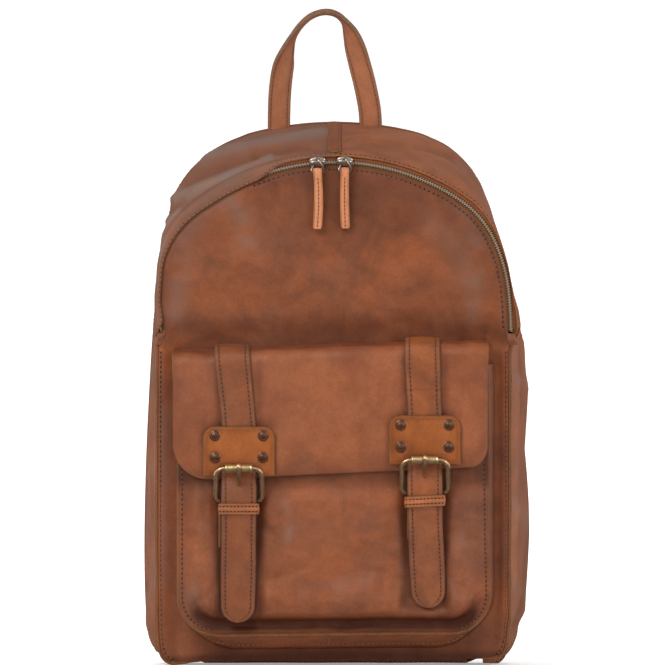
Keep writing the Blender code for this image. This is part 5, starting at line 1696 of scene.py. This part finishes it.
# ------------------------------------------------------------------ back and base
def back_panel():
    x, z = fill_grid(BACK, 3.4, 14.0, columns=110, rows=150, offset=lambda t: t * 0 - 0.2)
    edge = edge_distance(x, z, BACK, 700, lambda t: t * 0)
    x = x + lean(x, z, 1.0)
    flat = grid(x, 0.0, z)
    pad = 1.6 * smooth(3, 26, edge)
    pad += (0.6 * waves(flat, 71, 90) + 0.2 * waves(flat, 72, 30)) * smooth(4, 20, edge)
    pad -= 1.4 * np.exp(-edge / 2.0) + 0.4 * bump(edge - 4.0, 1.0)
    flatten = smooth(346, 352, z) * smooth(75, 70, np.abs(x))  # under the yoke
    pad = pad * (1 - flatten) - 0.1 * flatten
    y = 50.9 + np.minimum(pad, 1.35)
    dye_and_shade = 0.25 + 0.45 * np.exp(-edge / 6) + 0.2 * smooth(60, 10, z)
    sheet("back_panel", grid(x, y, z), 2.0, "gusset", "shell", dye_and_shade=np.clip(dye_and_shade, 0, 0.9),
          out=(0, 1, 0), raw=smooth(1.0, 0.4, edge) * 0.8, replaces=("back_panel",))
    stations = np.concatenate([np.linspace(-19.9, -3, 400), np.linspace(-2.9, 2.9, 40),
                               np.linspace(3, 19.9, 400)])
    line = around(BACK, stations, -4.2)[0]
    line[:, 0] += lean(line[:, 0], line[:, 1], 1.0)
    sew(("shell", "back"), surface_at(line, x, y, z, lift=-0.06), (0, 1, 0))


def base_panel():
    across = np.linspace(-1, 1, 90)
    y = np.linspace(-49.6, 48.6, 50)[:, None]
    half = np.interp(y, [-49.7, 48.65], [97.4, 109.4])
    z = 0.35 + 0.25 * np.sin(across * 5 + y * 0.05) ** 2 * (1 - np.abs(across) ** 6)
    # Painted shade: the base shows as a dark strip below the front's raised foot.
    sheet("base_panel", grid(across * half, y, z), 2.0, "dark", "shell", dye_and_shade=0.45,
          out=(0, 0, -1), replaces=("base_panel",))
    for half_row, row_y in ((94, -46.0), (104, 45.0)):
        sew(("shell", "base"), grid(np.linspace(-half_row, half_row, 200), row_y, 0.3),
            (0, 0, -1))


def on_back(x, z, out):
    return grid(x, 53.4 + out, z)


def sew_inside(tag, corners, centre, scale, count, y):
    """A loop of stitches inside a flat piece, drawn in towards its centre."""
    loop = np.array(corners + corners[:1], float)
    x, z = even(centre + (loop - centre) * scale, count).T
    sew(("shell", tag), grid(x, y, z), (0, 1, 0))


def strap_yoke():
    right = [(24, 349), (72, 349), (71, 362), (66, 376), (57, 381.5), (46, 385)]
    left = [(-x, z) for x, z in reversed(right)]
    corners = left[-2:] + right + left[:-2]
    patch("strap_yoke", corners, on_back, lambda a, b: 0.35 * bump(b - 366, 12), 2.0, "dark",
          "shell", step=3.0, raw_edge=0.7)
    sew_inside("yoke", corners, np.array([0, 366.0]), [0.95, 0.80], 300, 54.75)


# ------------------------------------------------------------------ shoulder straps
def hanging_frame(line):
    """Directions across and backward for a strap that runs downward."""
    along = unit(np.gradient(line, axis=0))
    across = unit(np.array([1.0, 0, 0]) - along * along[:, :1])
    return across, unit(np.cross(across, along))


def shoulder_strap(side, sign):
    """A padded strap with flat edges."""
    # Across, y, z, half width.
    run = resample(catmull([
        (42, 60.0, 363.5, 21), (44, 61.5, 345, 24), (50, 65.5, 300, 26), (60, 68.0, 240, 25),
        (72, 67.0, 190, 20), (79, 64.5, 156, 13.5)], 24), 2.2)
    line = run[:, :3] * [sign, 1, 1]
    across, facing = hanging_frame(line)
    sections = []
    for i, half in enumerate(run[:, 3]):
        end = min(i, len(run) - 1 - i) * 2.2
        pad = (3.8 * (0.55 + 0.45 * smooth(0, 16, end))
               + 0.35 * math.sin(i * 0.35 + sign) * smooth(10, 40, end))
        sections.append(mirrored([
            # across, height, raw, darkening (dark dye and painted shade)
            (half, 0.25, 1.0, 0.3), (half - 0.5, 0.85, 0.5, 0.2), (half - 2.2, 1.15, 0, 0.15),
            (half - 3.2, 1.05, 0, 0.5), (half - 4.4, pad * 0.62, 0, 0.3),
            (half - 6.5, pad * 0.88, 0, 0.1), (half * 0.45, pad, 0, 0.05),
            (0, pad * 1.03, 0, 0)]))
    sections = np.array(sections)
    name, body = f"shoulder_strap_{side}", "carry_strap_" + side
    rings(name, sweep(line, across, facing, sections), "gusset", body,
          attributes={"dye_and_shade": sections[..., 3].ravel(), "raw": sections[..., 2].ravel()},
          replaces=(name,))
    for edge in (-1, 1):
        seam = (line + across * ((run[:, 3] - 2.7) * edge)[:, None])[3:-3]
        for face in (1, -1):
            normals = facing[3:-3] * face
            sew((body, "carry_" + side), seam + normals * 1.15, normals)


def strap_anchor(side, sign):
    corners = [(sign * a, b) for a, b in ((92, 44), (116, 66), (137, 50), (137, 30), (118, 26))]
    patch(f"strap_anchor_{side}", corners, on_back, lambda a, b: 0.0 * a, 2.0, "dark", "shell",
          step=2.5, raw_edge=0.7)
    sew_inside("anchor_" + side, corners, np.mean(corners, 0), 0.80, 160, 54.5)


def lower_strap(side, sign):
    """From the adjuster to the anchor."""
    line = resample(catmull([
        (80.5, 62.6, 146), (83.0, 61.6, 127), (88, 60.8, 108), (96.0, 59.6, 84),
        (104.5, 57.6, 60), (110.0, 56.6, 46), (113, 55.4, 40)], 14), 1.8) * [sign, 1, 1]
    across, facing = hanging_frame(line)
    piece, top, length = ribbon(f"lower_strap_{side}", line, across, 12.5, 2.3, "dark", None,
                                facing=facing)
    motion = ("shell", "carry_strap_" + side, (sign * 0.110, 0.0566, 0.052),
              (sign * 0.083, 0.061, 0.127))
    bend_between(piece, motion)
    sew_both_edges((motion, "lower_" + side), top, length, offset=9.0, start=14, end=8)


# ------------------------------------------------------------------ the whole bag
def kept_solids():
    """Pieces used as loaded, with new materials."""
    for node, material in (("lining", "lining"), ("base_board", "lining"),
                           ("adjuster_left", "brass"), ("adjuster_right", "brass")):
        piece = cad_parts[node]
        piece.data.materials.clear()
        piece.data.materials.append(MATERIALS[material])
        if node.startswith("adjuster"):
            bevel = piece.modifiers.new("edge", "BEVEL")
            bevel.width = 0.0007
            bevel.segments = 3
            bevel.limit_method = "ANGLE"
            bevel.angle_limit = math.radians(40)


def bag():
    front_panel()
    top_lap(*gussets())
    zip_half("rear", 1, "shell")
    zip_half("front", -1, "mouth")
    for tag, side in SIDES:
        zip_end(tag, side)
    pocket_face()
    pocket_gusset()
    pocket_flap()
    for side, strap in STRAPS.items():
        buckled_strap(side, strap)
    for side, x, bow, drift in (("left", -13.5, 0.9, -0.2), ("right", 7.0, -0.5, 0.4)):
        z = zip_slider(side, x)
        pull_ring(side, x, z)
        leather_pull(side, x, z - 6.65, bow, drift)
    grab_handle()
    back_panel()
    base_panel()
    strap_yoke()
    for side, sign in SIDES:
        shoulder_strap(side, sign)
        strap_anchor(side, sign)
        lower_strap(side, sign)
    finish_sewing()
    kept_solids()


# ------------------------------------------------------------------ floor, light and camera
def backdrop():
    """A floor that curves up into a wall behind the bag, in metres."""
    floor_z, radius, half = -0.0032, 0.8, 4.0
    profile = [(-3.0, floor_z), (1.2, floor_z)]  # y, z
    profile += [(1.2 + radius * math.sin(a), floor_z + radius * (1 - math.cos(a)))
                for a in np.linspace(0.08, math.pi / 2, 16)]
    profile += [(2.0, 4.0)]
    mesh = bpy.data.meshes.new("backdrop")
    mesh.from_pydata([(x, y, z) for y, z in profile for x in (-half, half)], [],
                     [(2 * i, 2 * i + 1, 2 * i + 3, 2 * i + 2) for i in range(len(profile) - 1)])
    for poly in mesh.polygons:
        poly.use_smooth = True
    floor = bpy.data.objects.new("backdrop", mesh)
    SCENE.collection.objects.link(floor)
    floor.visible_glossy = False
    material, nodes, principled = new_material("pale_backdrop")
    shade = nodes.noise(nodes.coord(), scale=2.0)
    nodes.feed(principled, {
        "Base Color": nodes.mix(shade, (0.88, 0.88, 0.88), (0.91, 0.91, 0.91)),
        "Roughness": 0.95, "Specular IOR Level": 0.1,
        "Emission Color": (1.0, 1.0, 1.0), "Emission Strength": 0.34,
    })
    # Seen from behind, the wall lets the view through.
    behind = nodes.add("NewGeometry").outputs["Backfacing"]
    clear = nodes.add("BsdfTransparent").outputs[0]
    either = nodes.add("MixShader", {"Fac": behind, 1: principled.outputs[0], 2: clear})
    nodes.feed(nodes.tree.nodes["Material Output"], {"Surface": either.outputs[0]})
    mesh.materials.append(material)


def studio_world():
    """Dim light for surfaces, a shaded sky for reflections, and white for the camera."""
    world = bpy.data.worlds.new("studio")
    SCENE.world = world
    world.use_nodes = True
    nodes = Nodes(world.node_tree)
    ambient = world.node_tree.nodes["Background"]
    nodes.feed(ambient, {"Color": (1.0, 1.0, 1.0), "Strength": 0.20})
    seen = nodes.add("Background", {"Color": (1.0, 1.0, 1.0), "Strength": 1.0})
    ray = nodes.add("LightPath")
    shine = nodes.add("Background", {"Strength": 0.75})
    sky = nodes.add("SeparateXYZ", {0: nodes.add("TexCoord").outputs["Generated"]})

    def shade(axis, *stops):
        return nodes.grey_ramp(nodes.plus(nodes.times(sky.outputs[axis], 0.5), 0.5), *stops)

    height = shade("Z", 0.40, 0.60, 0.24, 0.80)
    ahead = shade("Y", 0.30, 0.55, 1, 0.10)
    nodes.feed(shine, {"Color": nodes.mix(1.0, height, ahead, "MULTIPLY")})
    lit = nodes.add("MixShader", {"Fac": ray.outputs["Is Glossy Ray"], 1: ambient.outputs[0],
                                  2: shine.outputs[0]})
    whole = nodes.add("MixShader", {"Fac": ray.outputs["Is Camera Ray"], 1: lit.outputs[0],
                                    2: seen.outputs[0]})
    nodes.feed(world.node_tree.nodes["World Output"], {"Surface": whole.outputs[0]})


def lamp(name, place, target, size, power, colour=(1, 1, 1)):
    data = bpy.data.lights.new(name, "AREA")
    data.shape = "RECTANGLE"
    data.size, data.size_y = size
    data.energy = power
    data.color = colour
    light = bpy.data.objects.new(name, data)
    light.location = place
    aim = Vector(target) - Vector(place)
    light.rotation_euler = aim.to_track_quat("-Z", "Y").to_euler()
    SCENE.collection.objects.link(light)
    return light


def lamps():
    lamp("key", place=(-0.9, -1.3, 1.35), target=(0, 0, 0.27), size=(0.9, 0.9), power=17,
         colour=(1, 0.985, 0.96))
    lamp("fill", place=(1.3, -1.2, 0.8), target=(0, 0, 0.22), size=(0.8, 1.2), power=9,
         colour=(1, 0.97, 0.94))
    top = lamp("top", place=(-0.3, -0.5, 1.75), target=(0, 0.0, 0.3), size=(1.3, 0.9), power=6)
    top.visible_glossy = False
    for side, sign, power in (("left", -1, 7), ("right", 1, 5)):
        lamp(f"side_{side}", place=(1.5 * sign, 0.3, 0.6), target=(0, 0, 0.25),
             size=(0.6, 1.2), power=power)
    back = lamp("back", place=(0.3, 1.6, 1.0), target=(0, 0, 0.25), size=(1.2, 1.0), power=12)
    back.visible_glossy = False


def camera():
    """A long lens in front of the bag, a little above its middle."""
    centre = Vector((-0.0023, 0, 0.248))
    elevation = math.radians(0.4)
    distance, view_width, sensor = 7.0, 0.502, 36
    data = bpy.data.cameras.new("camera")
    holder = bpy.data.objects.new("camera", data)
    SCENE.collection.objects.link(holder)
    holder.location = centre + Vector(
        (0, -distance * math.cos(elevation), distance * math.sin(elevation)))
    holder.rotation_euler = (centre - holder.location).to_track_quat("-Z", "Y").to_euler()
    data.sensor_width = sensor
    data.lens = sensor * distance / view_width
    data.clip_end = 50
    SCENE.camera = holder
    SCENE.view_settings.view_transform = "Standard"


bag()
backdrop()
studio_world()
lamps()
camera()
